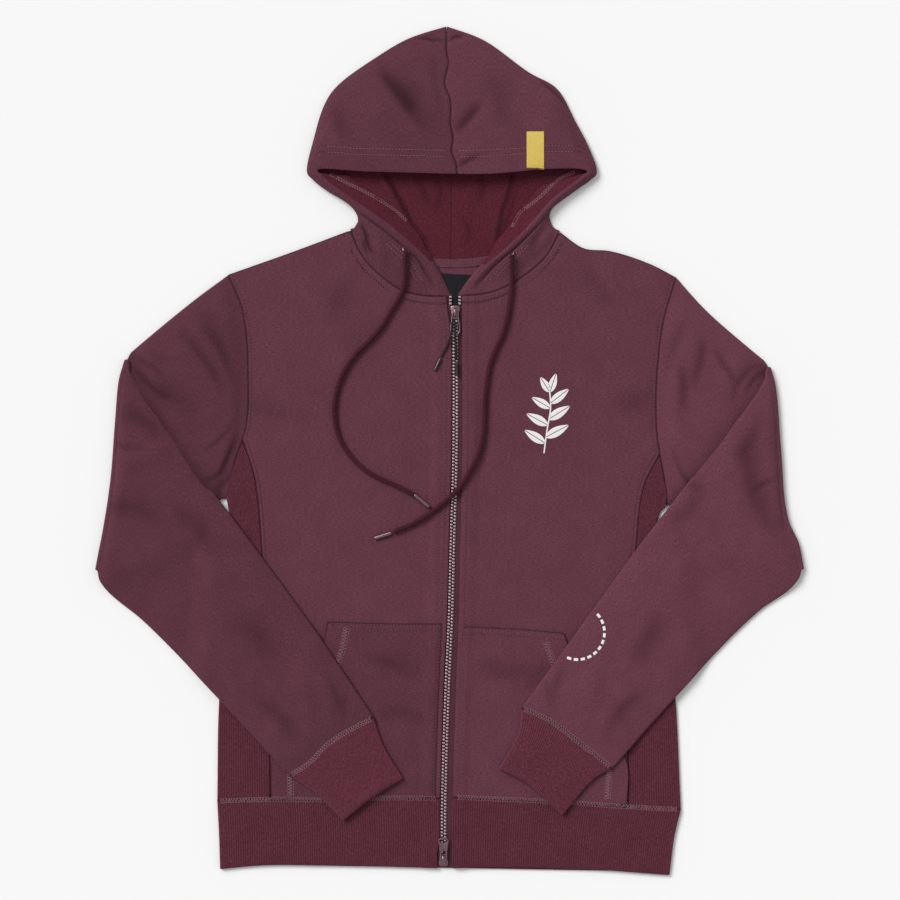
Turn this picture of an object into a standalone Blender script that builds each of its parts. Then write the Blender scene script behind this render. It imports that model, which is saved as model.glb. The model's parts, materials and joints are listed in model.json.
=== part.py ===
"""Zip-up hoodie laid flat on its back, face up, with the sleeves folded in over the front.

Sizes and places are in millimetres. X runs to the wearer's left, Y towards the hood and
Z up. The surface that the hoodie lies on is Z = 0. Meshes are made in metres.
"""
from bisect import bisect_right
from math import cos, hypot, pi, sin, sqrt

import bmesh
import bpy
from mathutils import Vector

for old in list(bpy.data.objects):
    bpy.data.objects.remove(old)

METRE = 0.001

# Thicknesses and gaps
CLOTH = 1.6
RIB_CLOTH = 2.0
RIB_HEIGHT = 0.5
HEM_RIBS = 92
CUFF_RIBS = 36
SIDE_RIBS = 11
SEAM = 0.3
SIDE_SEAM = 0.45
BETWEEN = 0.4
TAPE = 0.6
LABEL = 0.3

# Heights of the middle of each layer of cloth
BACK_Z = CLOTH / 2
FRONT_Z = BACK_Z + CLOTH + BETWEEN
FOLD_Z = (BACK_Z + FRONT_Z) / 2
LEAF = (FRONT_Z - BACK_Z) / 2
RIB_LEAF = (RIB_CLOTH + BETWEEN) / 2
PLACKET_LIFT = 1.4
PLACKET_FLAT = 18.0
PLACKET_SLOPE = 9.0
HEM_LIFT = 1.0
POCKET_RISE = CLOTH + SEAM + 0.05
POCKET_SET_IN = 5.0
ELBOW_RADIUS = 2 * LEAF + 0.05

# Zip
CHAIN_HALF = 3.0
CHAIN_THICK = 2.4
TAPE_Z = 2.8
CHAIN_Z = 3.7
TAPE_IN = CHAIN_HALF + SEAM
TAPE_OUT = 11.0
SLIDER_FLOOR = 3.4
SLIDER_TOP = 5.5
HINGE_Z = 6.8
PULL_THICK = 1.5
TOP_HINGE_Y = 146.0
BOTTOM_HINGE_Y = -432.5
SLIDER_REACH = 7.5
SLIDER_TAIL = 5.6
ZIP_TOP = 158.0
ZIP_BOTTOM = -441.0

# Cords
CORD = 5.0
TIP = 4.4
STRAND = 2.0
STRAND_TIP = 3.0
EYELET_RADIUS = 4.2
EYELET_HOLE = 2.6
EYELET_HEIGHT = 0.8

# Outlines, seen from above. Each is a few points on a smooth line.
ZIP_LINE = [(-6.5, -445), (-6, -370), (-2, -243), (1, -180), (3, -105), (6, 1), (6, 160)]
BACK_NECK = [(-105, 233), (-52, 207), (1, 199), (64, 208), (117, 231)]

OUTLINES = {
    "right": {
        "neck": [(-3.5, 163), (-28, 164), (-49, 169), (-74, 186), (-93, 207), (-105, 233)],
        "shoulder": [(-105, 233), (-158, 213), (-234, 186)],
        "armhole": [(-234, 186), (-219, 149), (-213, 75), (-216, 22), (-226, -6), (-237, -43)],
        "front_seam": [(-218, 10), (-206, -30), (-199, -100), (-191, -264), (-189, -369)],
        "side": [(-237, -43), (-228, -60), (-229, -110), (-244, -264), (-246, -371)],
        "hem_seam": [(-10, -368), (-84, -368), (-132, -370), (-174, -369), (-246, -371)],
        "hem_end": [(-9, -442), (-84, -440), (-140, -439), (-196, -439), (-243, -443)],
        "hem_side": [(-246, -371), (-244, -410), (-243, -443)],
        "overarm": [(-234, 186), (-268, 161), (-322, 117), (-344, 98)],
        "elbow": [(-344, 98), (-350, 75), (-354, 32), (-359, -31), (-367, -84), (-376, -128)],
        "underarm": [(-237, -43), (-300, -84), (-376, -128)],
        "forearm_over": [(-344, 98), (-335, 78), (-286, 5), (-201, -109), (-137, -197), (-80, -282)],
        "forearm_under": [(-376, -128), (-363, -148), (-325, -180), (-244, -263), (-169, -344)],
        "cuff_seam": [(-80, -282), (-127, -309), (-148, -330), (-169, -344)],
        "cuff_over": [(-80, -282), (-70, -311), (-49, -346)],
        "cuff_under": [(-169, -344), (-140, -363), (-113, -391)],
        "cuff_end": [(-49, -346), (-79, -364), (-113, -391)],
        "pocket_top": [(-8, -183), (-60, -183), (-129, -181)],
        "pocket_mouth": [(-129, -181), (-134, -207), (-158, -264), (-187, -325), (-189, -369)],
    },
    "left": {
        "neck": [(13.5, 164), (32, 165), (54, 171), (80, 186), (101, 204), (117, 231)],
        "shoulder": [(117, 231), (142, 214), (170, 211), (213, 197), (240, 183)],
        "armhole": [(240, 183), (226, 133), (219, 64), (220, 16), (225, -16), (233, -56)],
        "front_seam": [(222, -5), (206, -38), (198, -100), (190, -264), (188, -374)],
        "side": [(233, -56), (222, -67), (223, -116), (238, -243), (245, -380)],
        "hem_seam": [(4, -367), (54, -369), (133, -373), (186, -377), (245, -380)],
        "hem_end": [(3, -442), (54, -441), (107, -442), (160, -444), (233, -449.4)],
        "hem_side": [(245, -380), (238, -410), (233, -449.4)],
        "overarm": [(240, 183), (271, 149), (319, 107), (340, 90)],
        "elbow": [(340, 90), (345, 70), (351, 1), (359, -74), (369, -96), (376.2, -127)],
        "underarm": [(233, -56), (300, -92), (376.2, -127)],
        "forearm_over": [(340, 90), (332, 73), (276, -3), (198, -104), (138, -187), (76, -272)],
        "forearm_under": [(376.2, -127), (359, -148), (329, -169), (239, -261), (172, -336)],
        "cuff_seam": [(76, -272), (107, -286), (138, -309), (172, -336)],
        "cuff_over": [(76, -272), (73, -296), (52, -336)],
        "cuff_under": [(172, -336), (154, -346), (119, -386)],
        "cuff_end": [(52, -336), (80, -350), (107, -374), (119, -386)],
        "pocket_top": [(14, -186), (75, -189), (121, -193)],
        "pocket_mouth": [(121, -193), (131, -220), (160, -280), (188, -330), (188, -374)],
    },
}

# The hood's opening edge and outer fold, row by row from the crown seam to the zip.
# rim: the opening edge. rim_z: its height. fold: the outer fold. fold_z: its height.
HOOD_COLUMNS = ("rim_x", "rim_y", "rim_z", "fold_x", "fold_y", "fold_z")
HOOD_ROWS = {
    "right": [
        (8, 292, 17, -3, 448, 1.8),
        (-30, 293, 17, -45, 435, 1.8),
        (-62, 294, 16, -83, 413, 1.8),
        (-92, 295, 15, -117, 388, 2.2),
        (-116, 297, 13, -133, 365, 2.8),
        (-133, 298, 11, -144, 329, 3.8),
        (-140, 296, 10, -151, 297, 5.0),
        (-134, 288, 10, -144, 286, 5.0),
        (-123, 279, 10, -130, 275, 4.4),
        (-108, 268, 10, -113, 265, 3.6),
        (-92, 257, 10, -103, 257, 3.0),
        (-74, 245, 10, -98, 249, 2.5),
        (-56, 231, 10, -97, 243, 2.2),
        (-40, 217, 9, -99, 239, 2.0),
        (-24, 202, 8, -101, 236, 1.8),
        (-12, 182, 6.5, -103, 234.5, 1.8),
        (-3.5, 163, 4.4, -105, 233, 1.8),
    ],
    "left": [
        (8, 292, 17, -3, 451, 1.8),
        (38, 292, 17, 37, 435, 1.8),
        (66, 294, 16, 82, 402, 1.8),
        (94, 297, 15, 114, 383, 2.2),
        (118, 298, 13, 133, 349, 2.8),
        (136, 298, 11, 147, 322, 3.8),
        (146, 295, 10, 156, 296, 5.0),
        (138, 287, 10, 149, 286, 5.0),
        (124.5, 277, 10, 135, 276, 4.4),
        (110, 266, 10, 117, 263, 3.6),
        (99, 254, 10, 109, 256, 3.0),
        (85, 238, 10, 106, 249, 2.5),
        (71, 224, 10, 107, 243, 2.2),
        (57, 211, 9, 109, 238, 2.0),
        (41, 198, 8, 112, 235, 1.8),
        (26, 182, 6.5, 114.5, 233, 1.8),
        (13.5, 164, 4.4, 117, 231, 1.8),
    ],
}
CROWN_SEAM = [(8, 292), (4, 313), (3, 345), (-3, 380), (-5, 398), (-3, 449.25)]
BACK_SEAM = [(-3, 443), (0, 330), (2, 262), (1, 199.5)]
RAMP = 28.0
HOOD_TOP_COLUMNS = [0, 0.156, 0.27, 0.417, 0.667, 0.85, 1]
HOOD_BACK_COLUMNS = [0, 0.09, 0.2, 0.45, 0.72, 1]

# Free ends of the drawcord: where each lies, seen from above
DRAWCORD_ROUTES = {
    "right": [(-46, 212), (-47, 198), (-47, 184), (-49, 171), (-54, 160), (-62, 147), (-72, 131),
              (-84, 117), (-97, 104), (-107, 91), (-115, 76), (-120, 60), (-122, 45), (-121, 30),
              (-117, 14), (-110, 1), (-100, -11), (-87, -22), (-72, -30), (-56, -37), (-37, -47)],
    "left": [(65, 208), (66, 195), (66, 180), (64.5, 160), (61, 140), (56, 122), (49, 107),
             (43, 91), (40, 75), (38, 58), (37, 38), (36, 20), (33, 3), (27, -12), (18, -28),
             (8, -42), (-6, -55), (-22, -67), (-38, -77), (-60, -86.5)],
}
DRAWCORD_TIP_ENDS = {"right": (-21, -60), "left": (-80, -93)}
STRAND_ROUTES = {
    "a": [(2.6, 132), (1.4, 121), (-1, 114), (-5, 106), (-9, 98.5)],
    "b": [(6.4, 132), (6.0, 121), (6.8, 112), (7.2, 103), (7.4, 95)],
}
STRAND_TIP_ENDS = {"a": (-16, 84), "b": (8, 78)}

COLOURS = {
    "cloth": (0.125, 0.040, 0.057, 1),
    "cloth_inside": (0.075, 0.016, 0.024, 1),
    "rib": (0.095, 0.026, 0.040, 1),
    "cord": (0.060, 0.012, 0.022, 1),
    "metal": (0.50, 0.33, 0.35, 1),
    "tooth": (0.62, 0.55, 0.56, 1),
    "black": (0.012, 0.012, 0.014, 1),
    "yellow": (0.75, 0.52, 0.06, 1),
}


def material(name, kind, roughness, metallic=0.0):
    """Principled material with one colour for one sub-part."""
    made = bpy.data.materials.new(name)
    made.use_nodes = True
    shader = made.node_tree.nodes["Principled BSDF"]
    shader.inputs["Base Color"].default_value = COLOURS[kind]
    shader.inputs["Roughness"].default_value = roughness
    shader.inputs["Metallic"].default_value = metallic
    made.diffuse_color = COLOURS[kind]
    return made


FINISHES = {
    "cloth": (0.9, 0.0),
    "cloth_inside": (0.95, 0.0),
    "rib": (0.9, 0.0),
    "cord": (0.8, 0.0),
    "metal": (0.3, 1.0),
    "tooth": (0.35, 0.8),
    "black": (0.5, 0.0),
    "yellow": (0.8, 0.0),
}


def add_object(name, mesh, kind):
    """Put a mesh in the scene as the node of that name."""
    roughness, metallic = FINISHES[kind]
    mesh.materials.append(material(name, kind, roughness, metallic))
    made = bpy.data.objects.new(name, mesh)
    bpy.context.scene.collection.objects.link(made)
    return made


def closed_mesh(shape, name):
    """Finish a closed bmesh as a mesh whose faces point out."""
    bmesh.ops.recalc_face_normals(shape, faces=shape.faces)
    if shape.calc_volume(signed=True) < 0:
        bmesh.ops.reverse_faces(shape, faces=shape.faces)
    mesh = bpy.data.meshes.new(name)
    shape.to_mesh(mesh)
    shape.free()
    return mesh


# ---------------------------------------------------------------- curves and patches

def curve(points):
    """A smooth line through points, read by its share of the length from 0 to 1."""
    def between(a, b, c, d, t):
        return tuple(
            0.5 * (2 * b[k] + (c[k] - a[k]) * t + (2 * a[k] - 5 * b[k] + 4 * c[k] - d[k]) * t * t
                   + (3 * b[k] - a[k] - 3 * c[k] + d[k]) * t ** 3)
            for k in range(len(b)))

    steps = 10
    dense = []
    for i in range(len(points) - 1):
        b, c = points[i], points[i + 1]
        span = sqrt(sum((c[k] - b[k]) ** 2 for k in range(len(b)))) or 1.0

        def neighbour(j, near, sign):
            """The point before or after, drawn in to one span, so that uneven points don't loop."""
            if 0 <= j < len(points):
                far = points[j]
            else:
                far = tuple(2 * near[k] - (c if sign < 0 else b)[k] for k in range(len(near)))
            away = sqrt(sum((far[k] - near[k]) ** 2 for k in range(len(near)))) or 1.0
            return tuple(near[k] + (far[k] - near[k]) * span / away for k in range(len(near)))

        a = neighbour(i - 1, b, -1)
        d = neighbour(i + 2, c, 1)
        for step in range(steps):
            dense.append(between(a, b, c, d, step / steps))
    dense.append(tuple(points[-1]))
    lengths = [0.0]
    for p, q in zip(dense, dense[1:]):
        lengths.append(lengths[-1] + sqrt(sum((q[k] - p[k]) ** 2 for k in range(len(p)))))

    def at(share):
        target = min(max(share, 0.0), 1.0) * lengths[-1]
        i = min(max(bisect_right(lengths, target) - 1, 0), len(dense) - 2)
        t = (target - lengths[i]) / ((lengths[i + 1] - lengths[i]) or 1.0)
        return tuple(p + (q - p) * t for p, q in zip(dense[i], dense[i + 1]))

    return at


def normal_of(line, share):
    """Unit vector to the left of a flat line's direction."""
    ax, ay = line(max(share - 0.01, 0.0))
    bx, by = line(min(share + 0.01, 1.0))
    length = hypot(bx - ax, by - ay)
    return (-(by - ay) / length, (bx - ax) / length)


def shifted(line, distance):
    """The same line moved to its left by a distance, or to its right if that is negative."""
    def at(share):
        x, y = line(share)
        nx, ny = normal_of(line, share)
        return (x + nx * distance, y + ny * distance)
    return at


def part_of(line, start, end):
    """A stretch of a line, turned round if end comes before start."""
    return lambda share: line(start + (end - start) * share)


def joined(first, second, share_of_first):
    """Two lines end to end as one."""
    def at(share):
        if share < share_of_first:
            return first(share / share_of_first)
        return second((share - share_of_first) / (1 - share_of_first))
    return at


def pinned(line, start, end, reach=0.07):
    """The same line with its two ends moved, which changes only a short stretch at each."""
    first, last = line(0), line(1)

    def at(share):
        near_start, near_end = fade(share, 0, reach), fade(1 - share, 0, reach)
        return tuple(value + (start[k] - first[k]) * near_start + (end[k] - last[k]) * near_end
                     for k, value in enumerate(line(share)))

    return at


def straight(start, end):
    return lambda share: tuple(a + (b - a) * share for a, b in zip(start, end))


def patch(bottom, top, start, end):
    """Flat surface spanned by four lines. bottom and top are read by s, start and end by t."""
    corners = (bottom(0), bottom(1), top(0), top(1))

    def at(s, t):
        low, high, a, b = bottom(s), top(s), start(t), end(t)
        return tuple(
            (1 - t) * low[k] + t * high[k] + (1 - s) * a[k] + s * b[k]
            - (1 - s) * (1 - t) * corners[0][k] - s * (1 - t) * corners[1][k]
            - (1 - s) * t * corners[2][k] - s * t * corners[3][k]
            for k in range(2))

    return at


def hood_patch(bottom, top, start, end):
    """Flat surface for a hood leaf. The curves of bottom and top fade fast away from them.

    A plain patch carries the deep curve of the neck up the leaf and pushes its outline out.
    """
    def at(s, t):
        low, high, a, b = bottom(s), top(s), start(t), end(t)
        near_bottom, near_top = (1 - t) ** 4, t ** 4
        return tuple(
            (1 - s) * a[k] + s * b[k]
            + near_bottom * (low[k] - (1 - s) * bottom(0)[k] - s * bottom(1)[k])
            + near_top * (high[k] - (1 - s) * top(0)[k] - s * top(1)[k])
            for k in range(2))

    return at


def ease(value):
    """0 below 0, 1 above 1 and a soft step between."""
    value = min(max(value, 0.0), 1.0)
    return value * value * (3 - 2 * value)


def fade(distance, start, run):
    """1 up to start, then softly down to 0 over run."""
    return 1 - ease((distance - start) / run)


def blend(a, b, share):
    return a + (b - a) * share


# ---------------------------------------------------------------- walls

def grid(point, columns, rows):
    """Rows of points of a surface, at the given shares across and along."""
    return [[Vector(point(s, t)) for s in columns] for t in rows]


def shares(count):
    return [i / (count - 1) for i in range(count)]


def stations(breaks, counts):
    """Shares from 0 to 1 that pass through each break, with that many steps between breaks."""
    found = [breaks[0]]
    for low, high, count in zip(breaks, breaks[1:], counts):
        found += [blend(low, high, (i + 1) / count) for i in range(count)]
    return found


def upward_normals(rows):
    """Unit normals of a grid of points, from its neighbours across and along."""
    last_row, last_column = len(rows) - 1, len(rows[0]) - 1
    normals = []
    for i, row in enumerate(rows):
        line = []
        for j, _ in enumerate(row):
            across = row[min(j + 1, last_column)] - row[max(j - 1, 0)]
            along = rows[min(i + 1, last_row)][j] - rows[max(i - 1, 0)][j]
            normal = across.cross(along).normalized()
            line.append(normal if normal.z >= 0 else -normal)
        normals.append(line)
    return normals


def wall_object(name, outer, inner, kind, kept=None, closed=False):
    """A closed wall between two grids. kept lists the outer columns that inner has too."""
    shape = bmesh.new()
    width = len(outer[0])
    kept = kept or list(range(width))
    outer_verts = [[shape.verts.new(p * METRE) for p in row] for row in outer]
    inner_verts = [[shape.verts.new(p * METRE) for p in row] for row in inner]
    spans = range(width if closed else width - 1)
    for i in range(len(outer) - 1):
        low, high = outer_verts[i], outer_verts[i + 1]
        for j in spans:
            k = (j + 1) % width
            shape.faces.new((low[j], low[k], high[k], high[j]))
    pairs = list(zip(kept, kept[1:]))
    if closed:
        pairs.append((kept[-1], width))
    for i in range(len(inner) - 1):
        low, high = inner_verts[i], inner_verts[i + 1]
        for j in range(len(pairs)):
            k = (j + 1) % len(kept)
            shape.faces.new((low[k], low[j], high[j], high[k]))
    for row, order in ((0, 1), (-1, -1)):
        for j, (first, last) in enumerate(pairs):
            k = (j + 1) % len(kept)
            rim = [outer_verts[row][c % width] for c in range(first, last + 1)]
            loop = [inner_verts[row][j], inner_verts[row][k]] + rim[::-1]
            shape.faces.new(loop[::order])
    if not closed:
        for column, order in ((0, -1), (-1, 1)):
            for i in range(len(outer) - 1):
                loop = (outer_verts[i][column], inner_verts[i][column],
                        inner_verts[i + 1][column], outer_verts[i + 1][column])
                shape.faces.new(loop[::order])
    mesh = closed_mesh(shape, name)
    mesh.shade_smooth()
    mesh.set_sharp_from_angle(angle=0.7)
    return add_object(name, mesh, kind)


def panel(name, rows, thickness, kind, raised=None, kept=None):
    """A wall round a grid of middle points. raised(i, j) lifts the outer points."""
    normals = upward_normals(rows)
    outer, inner = [], []
    kept = kept or list(range(len(rows[0])))
    for i, row in enumerate(rows):
        outer.append([p + normals[i][j] * (thickness / 2 + (raised(i, j) if raised else 0.0))
                      for j, p in enumerate(row)])
        inner.append([row[j] - normals[i][j] * thickness / 2 for j in kept])
    return wall_object(name, outer, inner, kind, kept)


def fold_turns(steps):
    """Angles inside a half turn."""
    return [pi * (i + 1) / (steps + 1) for i in range(steps)]


# ---------------------------------------------------------------- heights

zip_line = curve(ZIP_LINE)
ZIP_SAMPLES = [zip_line(i / 60) for i in range(61)]


def zip_x(y):
    """The zip's middle at a height up the front."""
    for (xa, ya), (xb, yb) in zip(ZIP_SAMPLES, ZIP_SAMPLES[1:]):
        if y <= yb:
            return blend(xa, xb, (y - ya) / (yb - ya))
    return ZIP_SAMPLES[-1][0]


def placket(x, y):
    """How far the front is lifted by the turned edge and the zip tape under it."""
    return PLACKET_LIFT * fade(abs(x - zip_x(y)), PLACKET_FLAT, PLACKET_SLOPE)


def front_height(x, y):
    """Middle height of a front panel."""
    return FRONT_Z + placket(x, y)


def distance_beyond(line, x, y):
    """How far a point lies to the left of a line, where the line passes nearest to it."""
    best = None
    for i in range(25):
        ax, ay = line(i / 24)
        nx, ny = normal_of(line, i / 24)
        away = hypot(x - ax, y - ay)
        if best is None or away < best[0]:
            best = (away, (x - ax) * nx + (y - ay) * ny)
    return best[1]


def side_sign(side):
    return -1 if side == "right" else 1


def lines_of(side):
    return {name: curve(points) for name, points in OUTLINES[side].items()}


LINES = {side: lines_of(side) for side in OUTLINES}


def lying_height(side, x, y):
    """Height that a folded-in forearm rests on: the upper arm, the body, the pocket or the floor."""
    lines, sign = LINES[side], side_sign(side)
    stack = 2 * CLOTH + 2 * BETWEEN
    body_stack = stack + RIB_HEIGHT
    beyond_arm = sign * -distance_beyond(lines["underarm"], x, y)
    beyond_side = sign * distance_beyond(joined(lines["side"], lines["hem_side"], 0.8), x, y)
    over_body = body_stack * fade(beyond_side, 14, 28)
    beyond_mouth = sign * distance_beyond(lines["pocket_mouth"], x, y)
    level_top = fade(y, -186, 18)
    over_pocket = POCKET_RISE * min(fade(beyond_mouth, 3, 24), level_top)
    over_arm = stack * fade(beyond_arm, 8, 30)
    hem = 2 * (RIB_CLOTH - CLOTH) * fade(y, -366, 14)
    return max(over_arm, over_body + max(over_pocket, hem * fade(beyond_side, 3, 20)))


# ---------------------------------------------------------------- body

def front_gap(side, y):
    """Distance from the zip's middle to the cloth's edge. It widens round the two sliders."""
    if side == "right":
        return 4.2 + 5.3 * ease((y - 118) / 45) + 2.6 * fade(y, -424, 10)
    return 9.6 - 2.2 * ease((y + 367) / 480)


def front_edge(side, low=None, high=None):
    """The edge along the zip, from the hem seam to the neck, or between two heights."""
    low = OUTLINES[side]["hem_seam"][0][1] if low is None else low
    high = OUTLINES[side]["neck"][0][1] if high is None else high

    def at(share):
        y = blend(low, high, share)
        return (zip_x(y) + side_sign(side) * front_gap(side, y), y)

    return at


FRONT_WIDTH = 180.0
NEAR_COLUMNS = (0, 6.3, 13.5, 18, 23.4, 36, 57.6)


def from_zip(flat, edge, sign, width):
    """A flat surface whose first columns lie at set distances from the zip's edge."""
    def at(s, t):
        x, y = flat(s, t)
        near = edge(t)[0] + sign * s * width
        return (blend(x, near, fade(s, 0.14, 0.3)), y)

    return at


def nearest_share(line, x, y):
    """The share of a line's length nearest to a point."""
    return min((i / 200 for i in range(201)),
               key=lambda share: hypot(line(share)[0] - x, line(share)[1] - y))


def outer_edge(side):
    """The front's outer edge, up the side panel's seam and then the armhole."""
    lines = LINES[side]
    seam = lines["front_seam"]
    armhole = lines["armhole"]
    meet = nearest_share(armhole, *seam(0.0))
    return joined(part_of(seam, 1, 0), part_of(armhole, meet, 0), SEAM_SHARE)


SEAM_SHARE = 0.65
NECK_SHARE = 0.48
SIDE_ROWS = stations((0, 0.75, 1), (4, 3))
ARMHOLE_STEPS = 5
BODY_ROWS = [SEAM_SHARE * row for row in SIDE_ROWS] + [
    blend(SEAM_SHARE, 1, (i + 1) / ARMHOLE_STEPS) for i in range(ARMHOLE_STEPS)]


def front_surface(side):
    """Middle surface of a front: s from the zip to the side, t from the hem to the neck."""
    lines = LINES[side]
    edge = front_edge(side)
    outer = outer_edge(side)
    neck = pinned(lines["neck"], edge(1.0), lines["neck"](1))
    top = joined(neck, lines["shoulder"], NECK_SHARE)
    inner_share = nearest_share(lines["hem_seam"], *outer(0.0))
    hem = pinned(part_of(lines["hem_seam"], 0, inner_share), edge(0.0), outer(0.0))
    flat = patch(hem, top, edge, outer)

    def at(s, t):
        x, y = flat(s, t)
        return (x, y, front_height(x, y))

    return at


def make_fronts():
    across = [d / FRONT_WIDTH for d in NEAR_COLUMNS] + stations((NECK_SHARE, 1), (5,))
    across.insert(-6, 0.408)
    for side in OUTLINES:
        rows = grid(front_surface(side), across, BODY_ROWS)
        panel("front_" + side, rows, CLOTH, "cloth")


def make_back():
    right, left = OUTLINES["right"], OUTLINES["left"]
    hem = curve([right["front_seam"][-1], left["front_seam"][-1]])
    neck = curve(BACK_NECK)
    shoulders = joined(part_of(LINES["right"]["shoulder"], 1, 0),
                       joined(neck, LINES["left"]["shoulder"], 0.6), 0.3)
    flat = patch(hem, shoulders, outer_edge("right"), outer_edge("left"))
    middle = nearest_share(neck, *BACK_SEAM[-1])
    on_neck = [middle * w for w in HOOD_BACK_COLUMNS]
    on_neck += [1 - (1 - middle) * w for w in reversed(HOOD_BACK_COLUMNS[:-1])]
    across = [0, 0.1, 0.2] + [blend(0.3, 0.72, share) for share in on_neck] + [0.82, 0.91, 1]
    rows = grid(lambda s, t: (*flat(s, t), BACK_Z), across, BODY_ROWS)
    panel("back", rows, CLOTH, "cloth")


def folded_columns(points, outward, thickness, leaf, turns=3):
    """One row round a fold: the upper points, the turn and the lower points, outer and inner.

    points go from the free edge to the fold. Each is (x, y, z of the upper leaf).
    """
    outer, inner = [], []
    up = Vector((0, 0, 1))
    half = thickness / 2
    for p in points:
        outer.append(Vector(p) + up * half)
        inner.append(Vector(p) - up * half)
    centre = Vector(points[-1]) - up * leaf
    side = Vector((outward[0], outward[1], 0))
    for angle in fold_turns(turns):
        ray = up * cos(angle) + side * sin(angle)
        outer.append(centre + ray * (leaf + half))
        inner.append(centre + ray * (leaf - half))
    return outer, inner, centre


def make_side_panels():
    """Ribbed strips folded round the side, from the front seam to the back seam."""
    columns = 2 * SIDE_RIBS + 1
    for side in OUTLINES:
        lines, sign = LINES[side], side_sign(side)
        inset = LEAF + CLOTH / 2
        armhole = lines["armhole"]
        meet = nearest_share(armhole, *lines["front_seam"](0.0))
        top = shifted(part_of(armhole, meet, 1), -sign * SIDE_SEAM)
        corner = shifted(lines["side"], -sign * inset)(0.008)
        top = pinned(part_of(top, 0.06, 0.985), top(0.06), corner, 0.2)
        hem_from = nearest_share(lines["hem_seam"], *lines["front_seam"](1.0))
        hem = part_of(lines["hem_seam"], hem_from + 0.002, 1 - inset / 235)
        seam = shifted(part_of(lines["front_seam"], 1, 0), -sign * SIDE_SEAM)
        seam = pinned(seam, hem(0), top(0), 0.03)
        edge = shifted(part_of(lines["side"], 1, 0), sign * inset)
        edge = pinned(edge, hem(1), top(1), 0.03)
        flat = patch(hem, top, seam, edge)
        outer, inner = [], []
        kept = list(range(0, columns, 4)) + list(range(columns, columns + 3 + 3))
        if columns - 1 not in kept:
            kept.insert(kept.index(columns), columns - 1)
        for t in SIDE_ROWS:
            front = [(*flat(s, t), FRONT_Z) for s in shares(columns)]
            nx, ny = normal_of(edge, t)
            outer_row, inner_row, centre = folded_columns(
                front, (-sign * nx, -sign * ny), CLOTH, LEAF)
            for j in range(1, columns - 1, 2):
                outer_row[j] = outer_row[j] + Vector((0, 0, RIB_HEIGHT))
            for s in (1, 0.5, 0):
                x, y = flat(s, t)
                outer_row.append(Vector((x, y, BACK_Z - CLOTH / 2)))
                inner_row.append(Vector((x, y, BACK_Z + CLOTH / 2)))
            outer.append(outer_row)
            inner.append([inner_row[j] for j in kept])
        wall_object("side_panel_" + side, outer, inner, "rib", kept)


def hem_leaf(side):
    """Flat outline of one front half of the waistband: s from the zip to the side."""
    lines, sign = LINES[side], side_sign(side)
    inset = RIB_LEAF + RIB_CLOTH / 2
    fold = shifted(part_of(lines["hem_side"], 1, 0), sign * inset)
    low, high = OUTLINES[side]["hem_end"][0][1], OUTLINES[side]["hem_seam"][0][1]
    edge = front_edge(side, low, high - SIDE_SEAM)
    seam = shifted(lines["hem_seam"], -sign * SIDE_SEAM)
    seam = pinned(seam, edge(1), (fold(1)[0], fold(1)[1] - SIDE_SEAM), 0.03)
    end = pinned(lines["hem_end"], edge(0), fold(0), 0.03)
    return patch(end, seam, edge, pinned(fold, end(1), seam(1)))


def make_hem_band():
    """One ribbed strip round the body: right front, back and left front."""
    columns = 2 * HEM_RIBS + 1
    half = RIB_CLOTH / 2
    back_z = half
    front_z = back_z + 2 * RIB_LEAF
    leaves = {side: hem_leaf(side) for side in OUTLINES}
    outer, inner = [], []
    front_kept = list(range(0, columns, 8))
    for t in (0.0, 1.0):
        halves = {}
        for side in OUTLINES:
            flat, sign = leaves[side], side_sign(side)
            front = []
            for s in shares(columns):
                x, y = flat(s, t)
                front.append((x, y, front_z + placket(x, y) * HEM_LIFT / PLACKET_LIFT))
            outer_row, inner_row, _ = folded_columns(front, (sign, 0), RIB_CLOTH, RIB_LEAF)
            for j in range(1, columns - 1, 2):
                outer_row[j] = outer_row[j] + Vector((0, 0, RIB_HEIGHT))
            halves[side] = (outer_row, inner_row, [flat(s, t) for s in (1, 0.88, 0.76)])
        outer_row, inner_row, start = halves["right"]
        other_outer, other_inner, finish = halves["left"]
        middle = straight(start[-1], finish[-1])
        below, above = [], []
        for x, y in start + [middle(s) for s in (0.25, 0.5, 0.75)] + finish[::-1]:
            below.append(Vector((x, y, back_z - half)))
            above.append(Vector((x, y, back_z + half)))
        outer.append(outer_row + below + other_outer[::-1])
        inner.append(inner_row + above + other_inner[::-1])
    turn = list(range(columns, columns + 3))
    back = list(range(columns + 3, columns + 12))
    total = len(outer[0])
    kept = front_kept + turn + back
    kept += [total - 1 - j for j in reversed(front_kept + turn)]
    inner = [[row[j] for j in kept] for row in inner]
    wall_object("hem_band", outer, inner, "rib", kept)


def make_pockets():
    for side in OUTLINES:
        lines, sign = LINES[side], side_sign(side)
        mouth = part_of(lines["pocket_mouth"], 1, 0)
        low, high = OUTLINES[side]["hem_seam"][0][1], OUTLINES[side]["pocket_top"][0][1]
        edge = shifted(front_edge(side, low, high), -sign * POCKET_SET_IN)
        share = nearest_share(lines["hem_seam"], *mouth(0))
        hem = pinned(part_of(lines["hem_seam"], 0, share), edge(0), mouth(0))
        top = pinned(lines["pocket_top"], edge(1), mouth(1))
        narrower = FRONT_WIDTH - POCKET_SET_IN
        flat = from_zip(patch(hem, top, edge, mouth), edge, sign, narrower)

        def surface(s, t):
            x, y = flat(s, t)
            return (x, y, front_height(x, y) + POCKET_RISE)

        across = [0.0] + [(d - POCKET_SET_IN) / narrower for d in NEAR_COLUMNS[2:]]
        across += [0.5, 0.75, 1.0]
        rows = grid(surface, across, shares(8))
        panel("pocket_" + side, rows, CLOTH, "cloth")


# ---------------------------------------------------------------- sleeves and cuffs

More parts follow.
